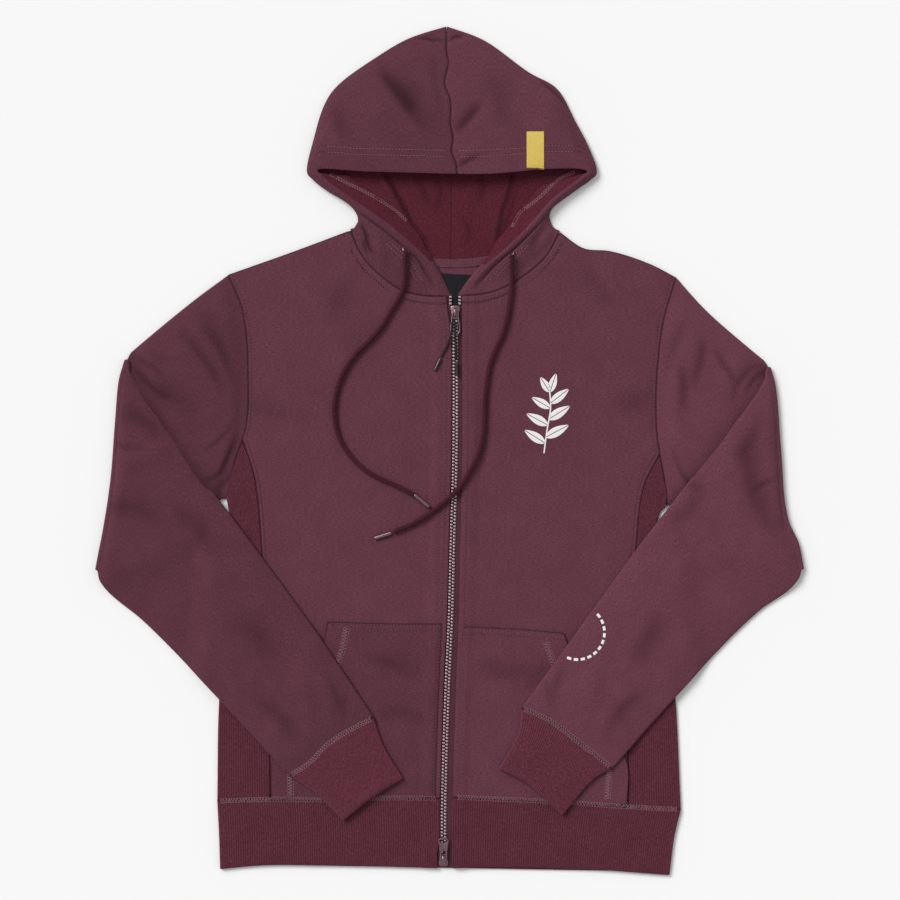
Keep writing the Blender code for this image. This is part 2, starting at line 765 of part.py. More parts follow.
def ring(centres, up, edge_out, leaf, thickness, turns=3, raised=None):
    """Outer and inner points round a flattened tube.

    centres run from the over edge to the under edge, between the two leaves. edge_out holds
    the outward directions at those edges.
    """
    half = thickness / 2
    outer, inner = [], []

    def add(centre, ray, lift=0.0):
        outer.append(centre + ray * (leaf + half + lift))
        inner.append(centre + ray * (leaf - half))

    for j, centre in enumerate(centres):
        add(centre, up, raised(j) if raised else 0.0)
    for angle in fold_turns(turns):
        add(centres[-1], up * cos(angle) + edge_out[1] * sin(angle))
    for centre in reversed(centres):
        add(centre, -up)
    for angle in fold_turns(turns):
        add(centres[0], -up * cos(angle) + edge_out[0] * sin(angle))
    return outer, inner


def flat_direction(line, share, sign):
    nx, ny = normal_of(line, share)
    return Vector((nx * sign, ny * sign, 0))


ARMHOLE_LENGTH = 235.0


def sleeve_columns(side):
    """Columns that pass through the body's stations on the armhole."""
    armhole = LINES[side]["armhole"]
    meet = nearest_share(armhole, *LINES[side]["front_seam"](0.0))
    trim = (LEAF + CLOTH / 2) / ARMHOLE_LENGTH
    found = [meet * (i + 1) / ARMHOLE_STEPS for i in range(ARMHOLE_STEPS)]
    found += [blend(meet, 1, k) for k in (0.25, 0.5, 0.75)]
    return [0.0] + [(share - trim) / (1 - 2 * trim) for share in found] + [1.0]


def upper_arm_surface(side):
    """Flat middle of the upper arm: s from the overarm to the underarm, t from the armhole."""
    lines, sign = LINES[side], side_sign(side)
    inset = LEAF + CLOTH / 2
    axis_inset = ELBOW_RADIUS + inset
    trim = inset / ARMHOLE_LENGTH
    armhole = part_of(shifted(lines["armhole"], sign * SIDE_SEAM), trim, 1 - trim)
    axis = shifted(lines["elbow"], -sign * axis_inset)
    axis = part_of(axis, 0.012, 0.985)
    over = pinned(shifted(lines["overarm"], -sign * inset), armhole(0), axis(0))
    under = pinned(shifted(lines["underarm"], sign * inset), armhole(1), axis(1))
    return patch(armhole, axis, over, under), axis, over, under


def forearm_surface(side):
    """Flat middle of the forearm: s from the over edge to the under edge, t from the elbow."""
    lines, sign = LINES[side], side_sign(side)
    inset = LEAF + CLOTH / 2
    _, axis, _, _ = upper_arm_surface(side)
    seam = part_of(lines["cuff_seam"], inset / 110, 1 - inset / 110)
    over = pinned(shifted(lines["forearm_over"], sign * inset), axis(0), seam(0), 0.04)
    under = pinned(shifted(lines["forearm_under"], -sign * inset), axis(1), seam(1), 0.04)
    return patch(axis, seam, over, under), over, under


def make_sleeves():
    """One tube of cloth each, folded back over itself along the elbow."""
    up = Vector((0, 0, 1))
    for side in OUTLINES:
        across = sleeve_columns(side)
        lines, sign = LINES[side], side_sign(side)
        upper, elbow_axis, top, bottom = upper_arm_surface(side)
        fore, over_line, under_line = forearm_surface(side)
        outer, inner = [], []

        def add_ring(centres, ray, edge_out):
            outer_row, inner_row = ring(centres, ray, edge_out, LEAF, CLOTH)
            outer.append(outer_row)
            inner.append(inner_row)

        for t in shares(6)[:-1]:
            centres = [Vector((*upper(s, t), FOLD_Z)) for s in across]
            add_ring(centres, up, (flat_direction(top, t, sign), flat_direction(bottom, t, -sign)))
        axis_points = [Vector((*elbow_axis(s), FOLD_Z + ELBOW_RADIUS)) for s in across]
        turns = 4
        for step in range(turns + 1):
            angle = pi * step / turns
            centres, rays = [], []
            for s, axis in zip(across, axis_points):
                out = flat_direction(lines["elbow"], s, sign)
                ray = up * cos(angle) - out * sin(angle)
                centres.append(axis - ray * ELBOW_RADIUS)
                rays.append(ray)
            done = step / turns
            over_out = flat_direction(top, 1, sign) * (1 - done)
            over_out = (over_out + flat_direction(over_line, 0, -sign) * done).normalized()
            under_out = flat_direction(bottom, 1, -sign) * (1 - done)
            under_out = (under_out + flat_direction(under_line, 0, sign) * done).normalized()
            middle = rays[len(rays) // 2]
            add_ring(centres, middle, (over_out, under_out))
        for t in shares(12)[1:]:
            centres = []
            for s in across:
                x, y = fore(s, t)
                centres.append(Vector((x, y, lying_height(side, x, y) + CLOTH / 2 + LEAF)))
            add_ring(centres, -up, (flat_direction(over_line, t, -sign),
                                    flat_direction(under_line, t, sign)))
        wall_object("sleeve_" + side, outer, inner, "cloth", closed=True)


def make_cuffs():
    """Ribbed tubes at the ends of the sleeves."""
    across = shares(2 * CUFF_RIBS + 1)
    up = Vector((0, 0, 1))
    for side in OUTLINES:
        lines, sign = LINES[side], side_sign(side)
        inset = RIB_LEAF + RIB_CLOTH / 2
        seam = shifted(lines["cuff_seam"], -sign * SIDE_SEAM)
        seam = part_of(seam, inset / 110, 1 - inset / 110)
        end = part_of(lines["cuff_end"], inset / 80, 1 - inset / 80)
        over_line = pinned(shifted(lines["cuff_over"], sign * inset), seam(0), end(0))
        under_line = pinned(shifted(lines["cuff_under"], -sign * inset), seam(1), end(1))
        flat = patch(seam, end, over_line, under_line)
        outer, inner = [], []
        last = len(across) - 1
        for t in shares(3):
            centres = []
            for s in across:
                x, y = flat(s, t)
                centres.append(Vector((x, y, lying_height(side, x, y) + CLOTH / 2 + RIB_LEAF)))

            def raised(j):
                return RIB_HEIGHT if j % 2 else 0.0

            edges = (flat_direction(over_line, t, -sign), flat_direction(under_line, t, sign))
            outer_row, inner_row = ring(centres, up, edges, RIB_LEAF, RIB_CLOTH, raised=raised)
            below = [last + 4 + j for j in range(0, last + 1, 9)]
            keep = list(range(last + 4)) + below + list(range(2 * last + 5, 2 * last + 8))
            outer_row = [outer_row[j] for j in keep]
            inner_row = [inner_row[j] for j in keep]
            outer.append(outer_row)
            inner.append(inner_row)
        total = len(outer[0])
        kept = list(range(0, last + 1, 9)) + list(range(last + 1, total))
        inner = [[row[j] for j in kept] for row in inner]
        wall_object("cuff_" + side, outer, inner, "rib", kept, closed=True)


# ---------------------------------------------------------------- hood

def hood_lines(side):
    """The hood half's opening edge and outer fold, in the plane and in height."""
    rows = [dict(zip(HOOD_COLUMNS, row)) for row in HOOD_ROWS[side]]
    last = len(rows) - 1

    def by_row(*names):
        """A smooth line through the table's rows, which it passes at equal steps."""
        points = [tuple(row[name] for name in names) for row in rows]

        def at(v):
            place = min(max(v, 0.0), 1.0) * last
            i = min(int(place), last - 1)
            t = place - i
            a, b = points[max(i - 1, 0)], points[i]
            c, d = points[i + 1], points[min(i + 2, last)]
            return tuple(
                0.5 * (2 * b[k] + (c[k] - a[k]) * t
                       + (2 * a[k] - 5 * b[k] + 4 * c[k] - d[k]) * t * t
                       + (3 * b[k] - a[k] - 3 * c[k] + d[k]) * t ** 3)
                for k in range(len(b)))

        return at

    return by_row("rim_x", "rim_y"), by_row("rim_z"), by_row("fold_x", "fold_y"), by_row("fold_z")


def hood_top_surface(side):
    """Upper leaf of a hood half: u from the opening edge to the outer fold, v down to the zip."""
    rim, rim_z, fold, fold_z = hood_lines(side)
    sign = side_sign(side)
    inset = LEAF + CLOTH / 2
    crown = shifted(curve(CROWN_SEAM), sign * -SIDE_SEAM)
    crown = part_of(crown, 0, 1 - inset / 157)
    collar = shifted(LINES[side]["neck"], sign * SIDE_SEAM)
    above_back = shifted(curve(BACK_NECK), SIDE_SEAM + 0.15)
    corner = above_back(0.012 if side == "right" else 0.988)
    collar = pinned(collar, collar(0), corner)
    inner_fold = pinned(shifted(fold, -sign * inset), crown(1), collar(1), 0.12)
    opening = pinned(rim, crown(0), collar(0), 0.05)
    flat = hood_patch(crown, collar, opening, inner_fold)

    def at(u, v):
        x, y = flat(u, v)
        low = max(fold_z(v)[0], FOLD_Z) + LEAF
        high = rim_z(v)[0]
        steep = blend(3.2, 1.5, ease((v - 0.25) / 0.2))
        z = low + (high - low) * (1 - u ** steep)
        z = blend(z, front_height(x, y), ease((v - 0.86) / 0.14))
        return (x, y, z)

    return at, inner_fold, fold_z


def hood_back_surface(side):
    """Lower leaf of a hood half: w from the outer fold to the centre back, v down to the neck."""
    _, inner_fold, fold_z = hood_top_surface(side)
    sign = side_sign(side)
    seam = shifted(curve(BACK_SEAM), sign * SIDE_SEAM)
    neck = curve(BACK_NECK)
    middle = nearest_share(neck, *BACK_SEAM[-1])
    neck_line = part_of(neck, 0 if side == "right" else 1, middle)
    neck_line = shifted(neck_line, -sign * (SIDE_SEAM + 0.2))
    neck_line = pinned(neck_line, inner_fold(1), seam(1), 0.1)
    crown = straight(inner_fold(0), seam(0))
    flat = hood_patch(crown, neck_line, inner_fold, seam)

    def at(w, v):
        x, y = flat(w, v)
        fx, fy = inner_fold(v)
        rise = max(fold_z(v)[0], FOLD_Z) - LEAF - BACK_Z
        return (x, y, BACK_Z + rise * fade(hypot(x - fx, y - fy), 0, RAMP))

    return at, inner_fold, fold_z


def make_hood():
    turns = fold_turns(3)
    up = Vector((0, 0, 1))
    for side in OUTLINES:
        sign = side_sign(side)
        top, _, _ = hood_top_surface(side)
        back, inner_fold, fold_z = hood_back_surface(side)
        along = stations((0, 0.35, 0.45, 1), (7, 4, 11))
        top_rows = grid(top, HOOD_TOP_COLUMNS, along)
        back_rows = grid(back, HOOD_BACK_COLUMNS, along)
        top_normals = upward_normals(top_rows)
        back_normals = upward_normals(back_rows)
        outer, inner = [], []
        half = CLOTH / 2
        for i, v in enumerate(along):
            outer_row = [p + n * half for p, n in zip(top_rows[i], top_normals[i])]
            inner_row = [p - n * half for p, n in zip(top_rows[i], top_normals[i])]
            x, y = inner_fold(v)
            out = flat_direction(inner_fold, v, sign)
            centre = Vector((x, y, max(fold_z(v)[0], FOLD_Z)))
            outer_row[-1] = centre + up * (LEAF + half)
            inner_row[-1] = centre + up * (LEAF - half)
            for angle in turns:
                ray = up * cos(angle) + out * sin(angle)
                outer_row.append(centre + ray * (LEAF + half))
                inner_row.append(centre + ray * (LEAF - half))
            outer_row.append(centre - up * (LEAF + half))
            inner_row.append(centre - up * (LEAF - half))
            for p, n in list(zip(back_rows[i], back_normals[i]))[1:]:
                below = p - n * half
                below.z = max(below.z, 0.0)
                outer_row.append(below)
                inner_row.append(p + n * half)
            outer.append(outer_row)
            inner.append(inner_row)
        wall_object("hood_" + side, outer, inner, "cloth")


# ---------------------------------------------------------------- small parts of the neck

def strip(name, surface, columns, rows, thickness, kind):
    return panel(name, grid(surface, shares(columns), shares(rows)), thickness, kind)


def make_neck_trims():
    tape_half = 4.5
    tape_z = CLOTH + SEAM + TAPE / 2
    neck = part_of(curve(BACK_NECK), 0.27, 0.73)

    def tape(s, t):
        x, y = shifted(neck, blend(-tape_half - 1, tape_half - 1, t))(s)
        return (x, y, tape_z)

    strip("neck_tape", tape, 9, 2, TAPE, "cloth")
    label_z = CLOTH + SEAM + LABEL / 2
    flat = patch(straight((-12, 152), (22, 152)), straight((-13.5, 188), (22.5, 186)),
                 straight((-12, 152), (-13.5, 188)), straight((22, 152), (22.5, 186)))
    strip("neck_label", lambda s, t: (*flat(s, t), label_z), 2, 2, LABEL, "black")


def find_on(surface, x, y):
    """The parameters of a surface above a point, by a search that narrows."""
    best, step = (0.5, 0.5), 0.25
    while step > 0.0005:
        choices = [(best[0] + i * step, best[1] + j * step) for i in (-1, 0, 1) for j in (-1, 0, 1)]
        choices = [(min(max(u, 0), 1), min(max(v, 0), 1)) for u, v in choices]
        new = min(choices, key=lambda c: hypot(surface(*c)[0] - x, surface(*c)[1] - y))
        if new == best:
            step /= 2
        best = new
    return best


def surface_frame(surface, u, v):
    """Point and upward unit normal of a surface."""
    step = 0.004
    across = Vector(surface(min(u + step, 1), v)) - Vector(surface(max(u - step, 0), v))
    along = Vector(surface(u, min(v + step, 1))) - Vector(surface(u, max(v - step, 0)))
    normal = across.cross(along).normalized()
    return Vector(surface(u, v)), normal if normal.z >= 0 else -normal


def make_hood_tab():
    """Woven tab on the crown, with its lower end at the opening edge."""
    left_x, width, low_y, length = 81, 19, 297.5, 41
    crown, _, _ = hood_top_surface("left")
    rows = []
    for x in (left_x, left_x + width / 2, left_x + width):
        row = []
        for y in (low_y + length * k for k in (0, 0.18, 0.38, 0.6, 1)):
            point, normal = surface_frame(crown, *find_on(crown, x, y))
            row.append(point + normal * (CLOTH / 2 + SEAM + TAPE / 2))
        rows.append(row)
    panel("hood_tab", rows, TAPE, "yellow")


def turned_ring(name, centre, normal, outer_radius, inner_radius, height, kind, sides=14):
    """A flat ring turned round an axis, with its foot at the centre."""
    shape = bmesh.new()
    turn = Vector((0, 0, 1)).rotation_difference(normal)
    profile = [(inner_radius, 0), (outer_radius, 0), (outer_radius, height * 0.6),
               (outer_radius - height * 0.5, height), (inner_radius, height)]
    loops = []
    for i in range(sides):
        angle = 2 * pi * i / sides
        loop = []
        for radius, z in profile:
            spot = turn @ Vector((radius * cos(angle), radius * sin(angle), z)) + centre
            loop.append(shape.verts.new(spot * METRE))
        loops.append(loop)
    for i, loop in enumerate(loops):
        other = loops[(i + 1) % sides]
        for j in range(len(profile)):
            k = (j + 1) % len(profile)
            shape.faces.new((loop[j], other[j], other[k], loop[k]))
    mesh = closed_mesh(shape, name)
    mesh.shade_smooth()
    mesh.set_sharp_from_angle(angle=0.6)
    return add_object(name, mesh, kind)


# ---------------------------------------------------------------- zip

def make_zip():
    chain_top = TOP_HINGE_Y - SLIDER_REACH - SEAM
    chain_bottom = BOTTOM_HINGE_Y + SLIDER_TAIL + SEAM

    def band(side_from, side_to, low, high, z):
        def at(s, t):
            y = blend(low, high, t)
            spread = 3.0 * ease((y - 126) / 30)
            edge = side_from + (spread if side_from > 0 else -spread if side_from < 0 else 0)
            far = side_to + (spread if side_to > 0 else -spread)
            return (zip_x(y) + blend(edge, far, s), y, z)
        return at

    strip("zip_tape_right", band(-TAPE_OUT, -TAPE_IN, ZIP_BOTTOM, ZIP_TOP, TAPE_Z), 2, 21, TAPE, "cloth")
    strip("zip_tape_left", band(TAPE_IN, TAPE_OUT + 2, ZIP_BOTTOM, ZIP_TOP, TAPE_Z), 2, 21, TAPE, "cloth")

    def chain(s, t):
        y = blend(chain_bottom, chain_top, t)
        return (zip_x(y) + blend(-CHAIN_HALF, CHAIN_HALF, s), y, CHAIN_Z)

    strip("zip_chain", chain, 2, 25, CHAIN_THICK, "tooth")


def extruded(name, outline, z_low, z_high, hole=None):
    """A plate with an outline and, if given, a hole with as many points."""
    shape = bmesh.new()

    def verts(points, z):
        return [shape.verts.new(Vector((x, y, z)) * METRE) for x, y in points]

    low, high = verts(outline, z_low), verts(outline, z_high)
    count = len(outline)
    for i in range(count):
        k = (i + 1) % count
        shape.faces.new((low[i], low[k], high[k], high[i]))
    if hole:
        hole_low, hole_high = verts(hole, z_low), verts(hole, z_high)
        for i in range(count):
            k = (i + 1) % count
            shape.faces.new((hole_low[k], hole_low[i], hole_high[i], hole_high[k]))
            shape.faces.new((high[i], high[k], hole_high[k], hole_high[i]))
            shape.faces.new((low[k], low[i], hole_low[i], hole_low[k]))
    else:
        shape.faces.new(high)
        shape.faces.new(low[::-1])
    return closed_mesh(shape, name)


# Half-widths of a slider's body along its length, from its tail to its shoulders
SLIDER_WAIST = 3.6
SLIDER_SHOULDER = 5.2
BRIDGE_HALF_WIDTH = 1.4
BRIDGE_HALF_LENGTH = 5.0
BAR_ROOM = 1.9


def make_slider(name, hinge_y, towards_mouth):
    """Slider body with a bridge over the pull's bar. The wide shoulder is towards the mouth."""
    x, m = zip_x(hinge_y), towards_mouth
    tail = SLIDER_TAIL if m < 0 else SLIDER_REACH
    half_outline = [(SLIDER_WAIST, -tail), (SLIDER_WAIST + 0.2, 0), (SLIDER_SHOULDER, 3),
                    (SLIDER_SHOULDER - 0.6, SLIDER_REACH - 1), (2, SLIDER_REACH)]
    outline = [(x + px, hinge_y + m * py) for px, py in half_outline]
    outline += [(x - px, hinge_y + m * py) for px, py in reversed(half_outline)]
    slider = add_object(name, extruded(name, outline, SLIDER_FLOOR, SLIDER_TOP), "metal")

    foot = SLIDER_TOP - 0.8
    rise = HINGE_Z + PULL_THICK / 2 + 0.4
    half_arch = [(BRIDGE_HALF_LENGTH, foot), (BRIDGE_HALF_LENGTH - 0.4, rise - 0.4), (2.8, rise + 1.0)]
    half_room = [(BAR_ROOM, foot), (BAR_ROOM, rise - 0.3), (BAR_ROOM - 0.4, rise)]
    profile = [(-py, pz) for py, pz in half_arch] + half_arch[::-1]
    profile += half_room + [(-py, pz) for py, pz in reversed(half_room)]
    shape = bmesh.new()
    sides = []
    for offset in (-BRIDGE_HALF_WIDTH, BRIDGE_HALF_WIDTH):
        sides.append([shape.verts.new(Vector((x + offset, hinge_y + py, pz)) * METRE)
                      for py, pz in profile])
    shape.faces.new(sides[0])
    shape.faces.new(sides[1][::-1])
    for i in range(len(profile)):
        k = (i + 1) % len(profile)
        shape.faces.new((sides[0][i], sides[0][k], sides[1][k], sides[1][i]))
    bridge = bpy.data.objects.new(name + "_bridge_cutter", closed_mesh(shape, name + "_bridge"))
    bridge.hide_render = True
    bridge.display_type = "WIRE"
    bpy.context.scene.collection.objects.link(bridge)
    union = slider.modifiers.new("bridge", "BOOLEAN")
    union.operation = "UNION"
    union.solver = "EXACT"
    union.object = bridge


PULL_LENGTH = 24.0
PULL_WALL = 1.6
PULL_ARC_STEPS = 10


def make_pull(name, hinge_y, way, arm_half, ring_half):
    """Pull tab: a cast loop, narrow at its bar and round at its end. way is the side it lies on."""
    x = zip_x(hinge_y)
    ring_y = PULL_LENGTH - ring_half

    def outline(grow):
        points = []
        for i in range(PULL_ARC_STEPS + 1):
            angle = pi * i / PULL_ARC_STEPS
            radius = ring_half + grow
            points.append((radius * cos(angle), ring_y + radius * sin(angle)))
        back = -0.8 - grow
        arm = arm_half + grow
        points += [(-arm, ring_y - ring_half * 0.9), (-arm, 2.0), (-arm, back),
                   (0, back), (arm, back), (arm, 2.0), (arm, ring_y - ring_half * 0.9)]
        return [(x + px, hinge_y + way * py) for px, py in points]

    mesh = extruded(name, outline(0.0), HINGE_Z - PULL_THICK / 2, HINGE_Z + PULL_THICK / 2,
                    outline(-PULL_WALL))
    pivot = Vector((x, hinge_y, HINGE_Z)) * METRE
    for vertex in mesh.vertices:
        vertex.co -= pivot
    pull = add_object(name, mesh, "metal")
    pull.location = pivot


# ---------------------------------------------------------------- cords

def tube(name, points, diameter, kind, resolution=2):
    """A cord as a bevelled curve with filled caps."""
    data = bpy.data.curves.new(name, "CURVE")
    data.dimensions = "3D"
    data.bevel_depth = diameter / 2 * METRE
    data.bevel_resolution = resolution
    data.use_fill_caps = True
    spline = data.splines.new("POLY")
    spline.points.add(len(points) - 1)
    for spot, point in zip(spline.points, points):
        spot.co = (*(Vector(point) * METRE), 1)
    roughness, metallic = FINISHES[kind]
    data.materials.append(material(name, kind, roughness, metallic))
    made = bpy.data.objects.new(name, data)
    bpy.context.scene.collection.objects.link(made)


def lying_on_front(x, y, radius):
    """Height of a cord's middle where it lies on the fronts and the zip."""
    near_zip = fade(abs(x - zip_x(y)), PLACKET_FLAT + 3, PLACKET_SLOPE + 4)
    return FRONT_Z + CLOTH / 2 + SEAM + 0.1 + radius + PLACKET_LIFT * near_zip


def add_tip(name, cord_end, tip_end, diameter, kind):
    """Straight tip in line with the end of a cord."""
    ex, ey, _ = cord_end
    tx, ty = tip_end
    length = hypot(tx - ex, ty - ey)
    gap = SEAM + 0.5
    sx, sy = ex + (tx - ex) * gap / length, ey + (ty - ey) * gap / length
    start = Vector((sx, sy, lying_on_front(sx, sy, diameter / 2)))
    end = Vector((tx, ty, lying_on_front(tx, ty, diameter / 2)))
    tube(name, [start, (start + end) / 2, end], diameter, kind)


def make_drawcords():
    for side in OUTLINES:
        leaf, _, _ = hood_top_surface(side)
        route = DRAWCORD_ROUTES[side]
        ex, ey = route[0]
        spot, normal = surface_frame(leaf, *find_on(leaf, ex, ey))
        foot = spot + normal * (CLOTH / 2 + SEAM)
        turned_ring("eyelet_" + side, foot, normal, EYELET_RADIUS, EYELET_HOLE, EYELET_HEIGHT, "metal")
        start = foot + normal * (EYELET_HEIGHT + SEAM + CORD / 2 + 0.2)
        points = [tuple(start)]
        for x, y in route[1:]:
            u, v = find_on(leaf, x, y)
            sx, sy, sz = leaf(u, v)
            height = lying_on_front(x, y, CORD / 2)
            if hypot(sx - x, sy - y) < 4:
                height = max(height, sz + CLOTH / 2 + SEAM + CORD / 2 + 0.5)
            points.append((x, y, height))
        line = curve(points)
        tube("drawcord_" + side, [line(k) for k in shares(28)], CORD, "cord", 2)
        add_tip("cord_tip_" + side, points[-1], DRAWCORD_TIP_ENDS[side], TIP, "metal")


def make_pull_strands():
    ring_top = HINGE_Z + PULL_THICK / 2 + SEAM + STRAND / 2
    for name, route in STRAND_ROUTES.items():
        points = []
        for i, (x, y) in enumerate(route):
            rest = lying_on_front(x, y, STRAND / 2)
            height = max(rest, blend(ring_top, rest, ease((120 - y) / 12)))
            points.append((x, y, height))
        line = curve(points)
        tube("pull_strand_" + name, [line(k) for k in shares(9)], STRAND, "black", 2)
        add_tip("pull_tip_" + name, points[-1], STRAND_TIP_ENDS[name], STRAND_TIP, "black")


make_back()
make_fronts()
make_side_panels()
make_hem_band()
make_pockets()
make_sleeves()
make_cuffs()
make_hood()
make_neck_trims()
make_hood_tab()
make_zip()
make_slider("slider_top", TOP_HINGE_Y, 1)
make_slider("slider_bottom", BOTTOM_HINGE_Y, -1)
make_pull("pull_top", TOP_HINGE_Y, -1, arm_half=4.2, ring_half=5.6)
make_pull("pull_bottom", BOTTOM_HINGE_Y, 1, arm_half=5.0, ring_half=5.4)
make_drawcords()
make_pull_strands()
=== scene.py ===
# %% [markdown]
# # A zip-up hoodie laid flat
# The garment lies on its back with the sleeves folded in over the front, as a shop lays it out.
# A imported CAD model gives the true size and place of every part, and this lesson dresses it:
# each sewn piece becomes a thin sheet of cloth on its solid's form, then come the thread, the
# zip, the cords and the light. Places are in millimetres, with X to the wearer's left, Y
# towards the hood and Z up, and are turned to metres only when a mesh is written.

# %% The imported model
import json
from math import cos, pi, radians, sin

import bmesh
import bpy
import numpy as np
from mathutils import Matrix, Vector
from mathutils.bvhtree import BVHTree

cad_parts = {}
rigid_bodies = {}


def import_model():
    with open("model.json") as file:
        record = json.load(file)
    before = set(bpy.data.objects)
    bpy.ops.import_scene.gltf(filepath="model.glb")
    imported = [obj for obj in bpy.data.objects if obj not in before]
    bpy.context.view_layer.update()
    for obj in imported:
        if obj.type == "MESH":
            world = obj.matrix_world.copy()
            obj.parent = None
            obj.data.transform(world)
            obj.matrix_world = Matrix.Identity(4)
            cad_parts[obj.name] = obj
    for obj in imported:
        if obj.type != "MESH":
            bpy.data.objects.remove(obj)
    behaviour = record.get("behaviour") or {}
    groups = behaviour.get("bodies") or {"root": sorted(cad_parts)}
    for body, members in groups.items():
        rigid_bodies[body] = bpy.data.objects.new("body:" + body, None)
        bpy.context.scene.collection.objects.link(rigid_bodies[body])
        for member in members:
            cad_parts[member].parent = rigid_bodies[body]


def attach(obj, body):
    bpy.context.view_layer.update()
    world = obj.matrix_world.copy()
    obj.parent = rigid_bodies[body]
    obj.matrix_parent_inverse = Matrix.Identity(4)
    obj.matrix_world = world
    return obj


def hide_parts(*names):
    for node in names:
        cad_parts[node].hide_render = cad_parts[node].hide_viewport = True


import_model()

scene = bpy.context.scene
METRE = 0.001
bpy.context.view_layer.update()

# %% [markdown]
# ## The camera
# Shops photograph a flat garment from straight above, far enough away that the raised hood
# isn't stretched. A 100 mm lens at 2.65 m does that: one pixel of a 900 pixel picture is then
# 1.06 mm of floor. The Standard view keeps dyed colours as they are mixed.

# %% Camera over the middle of the garment
camera_data = bpy.data.cameras.new("camera")
camera_data.lens = 100
camera_data.sensor_width = 36
camera = bpy.data.objects.new("camera", camera_data)
camera.location = (0.00053, 0.00053, 2.65)
scene.collection.objects.link(camera)
scene.camera = camera
scene.view_settings.view_transform = "Standard"
print("camera at", tuple(camera.location))

# %% [markdown]
# ## Smooth lines
# A pattern cutter draws every edge of a garment through a few marks with a curved ruler. The
# same is done here: a table holds the marks, and a smooth line runs through them. A line is a
# function of its share of the length, from 0 to 1, and takes whole arrays, which keeps a
# hundred thousand points quick to place.

# %% Lines and soft steps
def ease(value):
    """0 below 0, 1 above 1 and a soft step between."""
    value = np.clip(value, 0.0, 1.0)
    return value * value * (3 - 2 * value)


def fade(distance, start, run):
    """1 up to start, then softly down to 0 over run."""
    return 1 - ease((distance - start) / run)


def blend(a, b, share):
    return a + (b - a) * share


def smooth(points):
    """A smooth line through points."""
    points = np.array(points, float)
    spans = []
    for i in range(len(points) - 1):
        b, c = points[i], points[i + 1]
        span = np.linalg.norm(c - b)
        a = points[i - 1] if i else 2 * b - c
        d = points[i + 2] if i + 2 < len(points) else 2 * c - b
        a = b + (a - b) * span / np.linalg.norm(a - b)
        d = c + (d - c) * span / np.linalg.norm(d - c)
        t = np.arange(10)[:, None] / 10
        spans.append(0.5 * (2 * b + (c - a) * t + (2 * a - 5 * b + 4 * c - d) * t ** 2
                            + (3 * b - a - 3 * c + d) * t ** 3))
    dense = np.vstack(spans + [points[-1:]])
    steps = np.linalg.norm(np.diff(dense, axis=0), axis=1)
    reached = np.concatenate([[0], np.cumsum(steps)])

    def at(share):
        target = np.clip(share, 0, 1) * reached[-1]
        return np.stack([np.interp(target, reached, axis) for axis in dense.T], -1)

    return at


def left_of(line, share):
    """Unit vector to the left of a flat line's direction."""
    step = line(np.minimum(share + 0.01, 1.0)) - line(np.maximum(share - 0.01, 0.0))
    step = step / np.linalg.norm(step, axis=-1, keepdims=True)
    return np.stack([-step[..., 1], step[..., 0]], -1)


def shifted(line, distance):
    return lambda share: line(share) + left_of(line, np.asarray(share)) * distance


def stretch(line, start, end):
    return lambda share: line(start + (end - start) * np.asarray(share))


def joined(first, second, where):
    """Two lines end to end as one."""
    def at(share):
        share = np.asarray(share, float)
        return np.where((share < where)[..., None],
                        first(share / where), second((share - where) / (1 - where)))
    return at


def pinned(line, start, end, reach=0.07):
    """The same line with its ends moved, which changes only a short stretch at each."""
    first, last = line(0.0), line(1.0)

    def at(share):
        share = np.asarray(share, float)
        near_start = fade(share, 0, reach)[..., None]
        near_end = fade(1 - share, 0, reach)[..., None]
        return line(share) + (start - first) * near_start + (end - last) * near_end

    return at


def straight(start, end):
    start, end = np.array(start, float), np.array(end, float)
    return lambda share: start + (end - start) * np.asarray(share, float)[..., None]


def patch(bottom, top, start, end):
    """Flat surface between four lines: s runs along bottom and top, t along start and end."""
    def at(s, t):
        s_, t_ = s[..., None], t[..., None]
        return ((1 - t_) * bottom(s) + t_ * top(s) + (1 - s_) * start(t) + s_ * end(t)
                - (1 - s_) * (1 - t_) * bottom(0.0) - s_ * (1 - t_) * bottom(1.0)
                - (1 - s_) * t_ * top(0.0) - s_ * t_ * top(1.0))
    return at


def nearest_share(line, place):
    shares = np.arange(201) / 200
    return shares[np.argmin(np.linalg.norm(line(shares) - np.array(place), axis=-1))]


def nearest_on(line, x, y, samples):
    """How far each place is from a line, how far to its left, and at what share of it."""
    shares = np.linspace(0, 1, samples)
    nearest, signed, reached = np.full(np.shape(x), 1e9), np.zeros(np.shape(x)), np.zeros(np.shape(x))
    for share, (ax, ay), (nx, ny) in zip(shares, line(shares), left_of(line, shares)):
        away = np.hypot(x - ax, y - ay)
        closer = away < nearest
        nearest = np.where(closer, away, nearest)
        signed = np.where(closer, (x - ax) * nx + (y - ay) * ny, signed)
        reached = np.where(closer, share, reached)
    return nearest, signed, reached


def beyond(line, x, y, samples=90):
    """How far each place lies to the left of a line, where the line passes nearest to it."""
    return nearest_on(line, x, y, samples)[1]


def raised(flat, z):
    """Flat places given a height."""
    return np.concatenate([flat, np.broadcast_to(z, flat.shape[:-1])[..., None]], -1)


def length_of(line, samples=400):
    return np.linalg.norm(np.diff(line(np.linspace(0, 1, samples)), axis=0), axis=1).sum()


print("a line bends through its marks:", smooth([(0, 0), (10, 4), (20, 0)])(0.5))

# %% [markdown]
# ## Sheets from a grid
# Every piece of cloth here starts as the grid operator's flat sheet, like cloth on a table.
# Its points are then moved on to rows of places that follow the pattern piece, and its UV map
# keeps the cloth's own measure, so a knit stays the same size wherever the sheet bends. The
# cloth's thickness comes from Solidify and its rounded raw edge from Bevel.

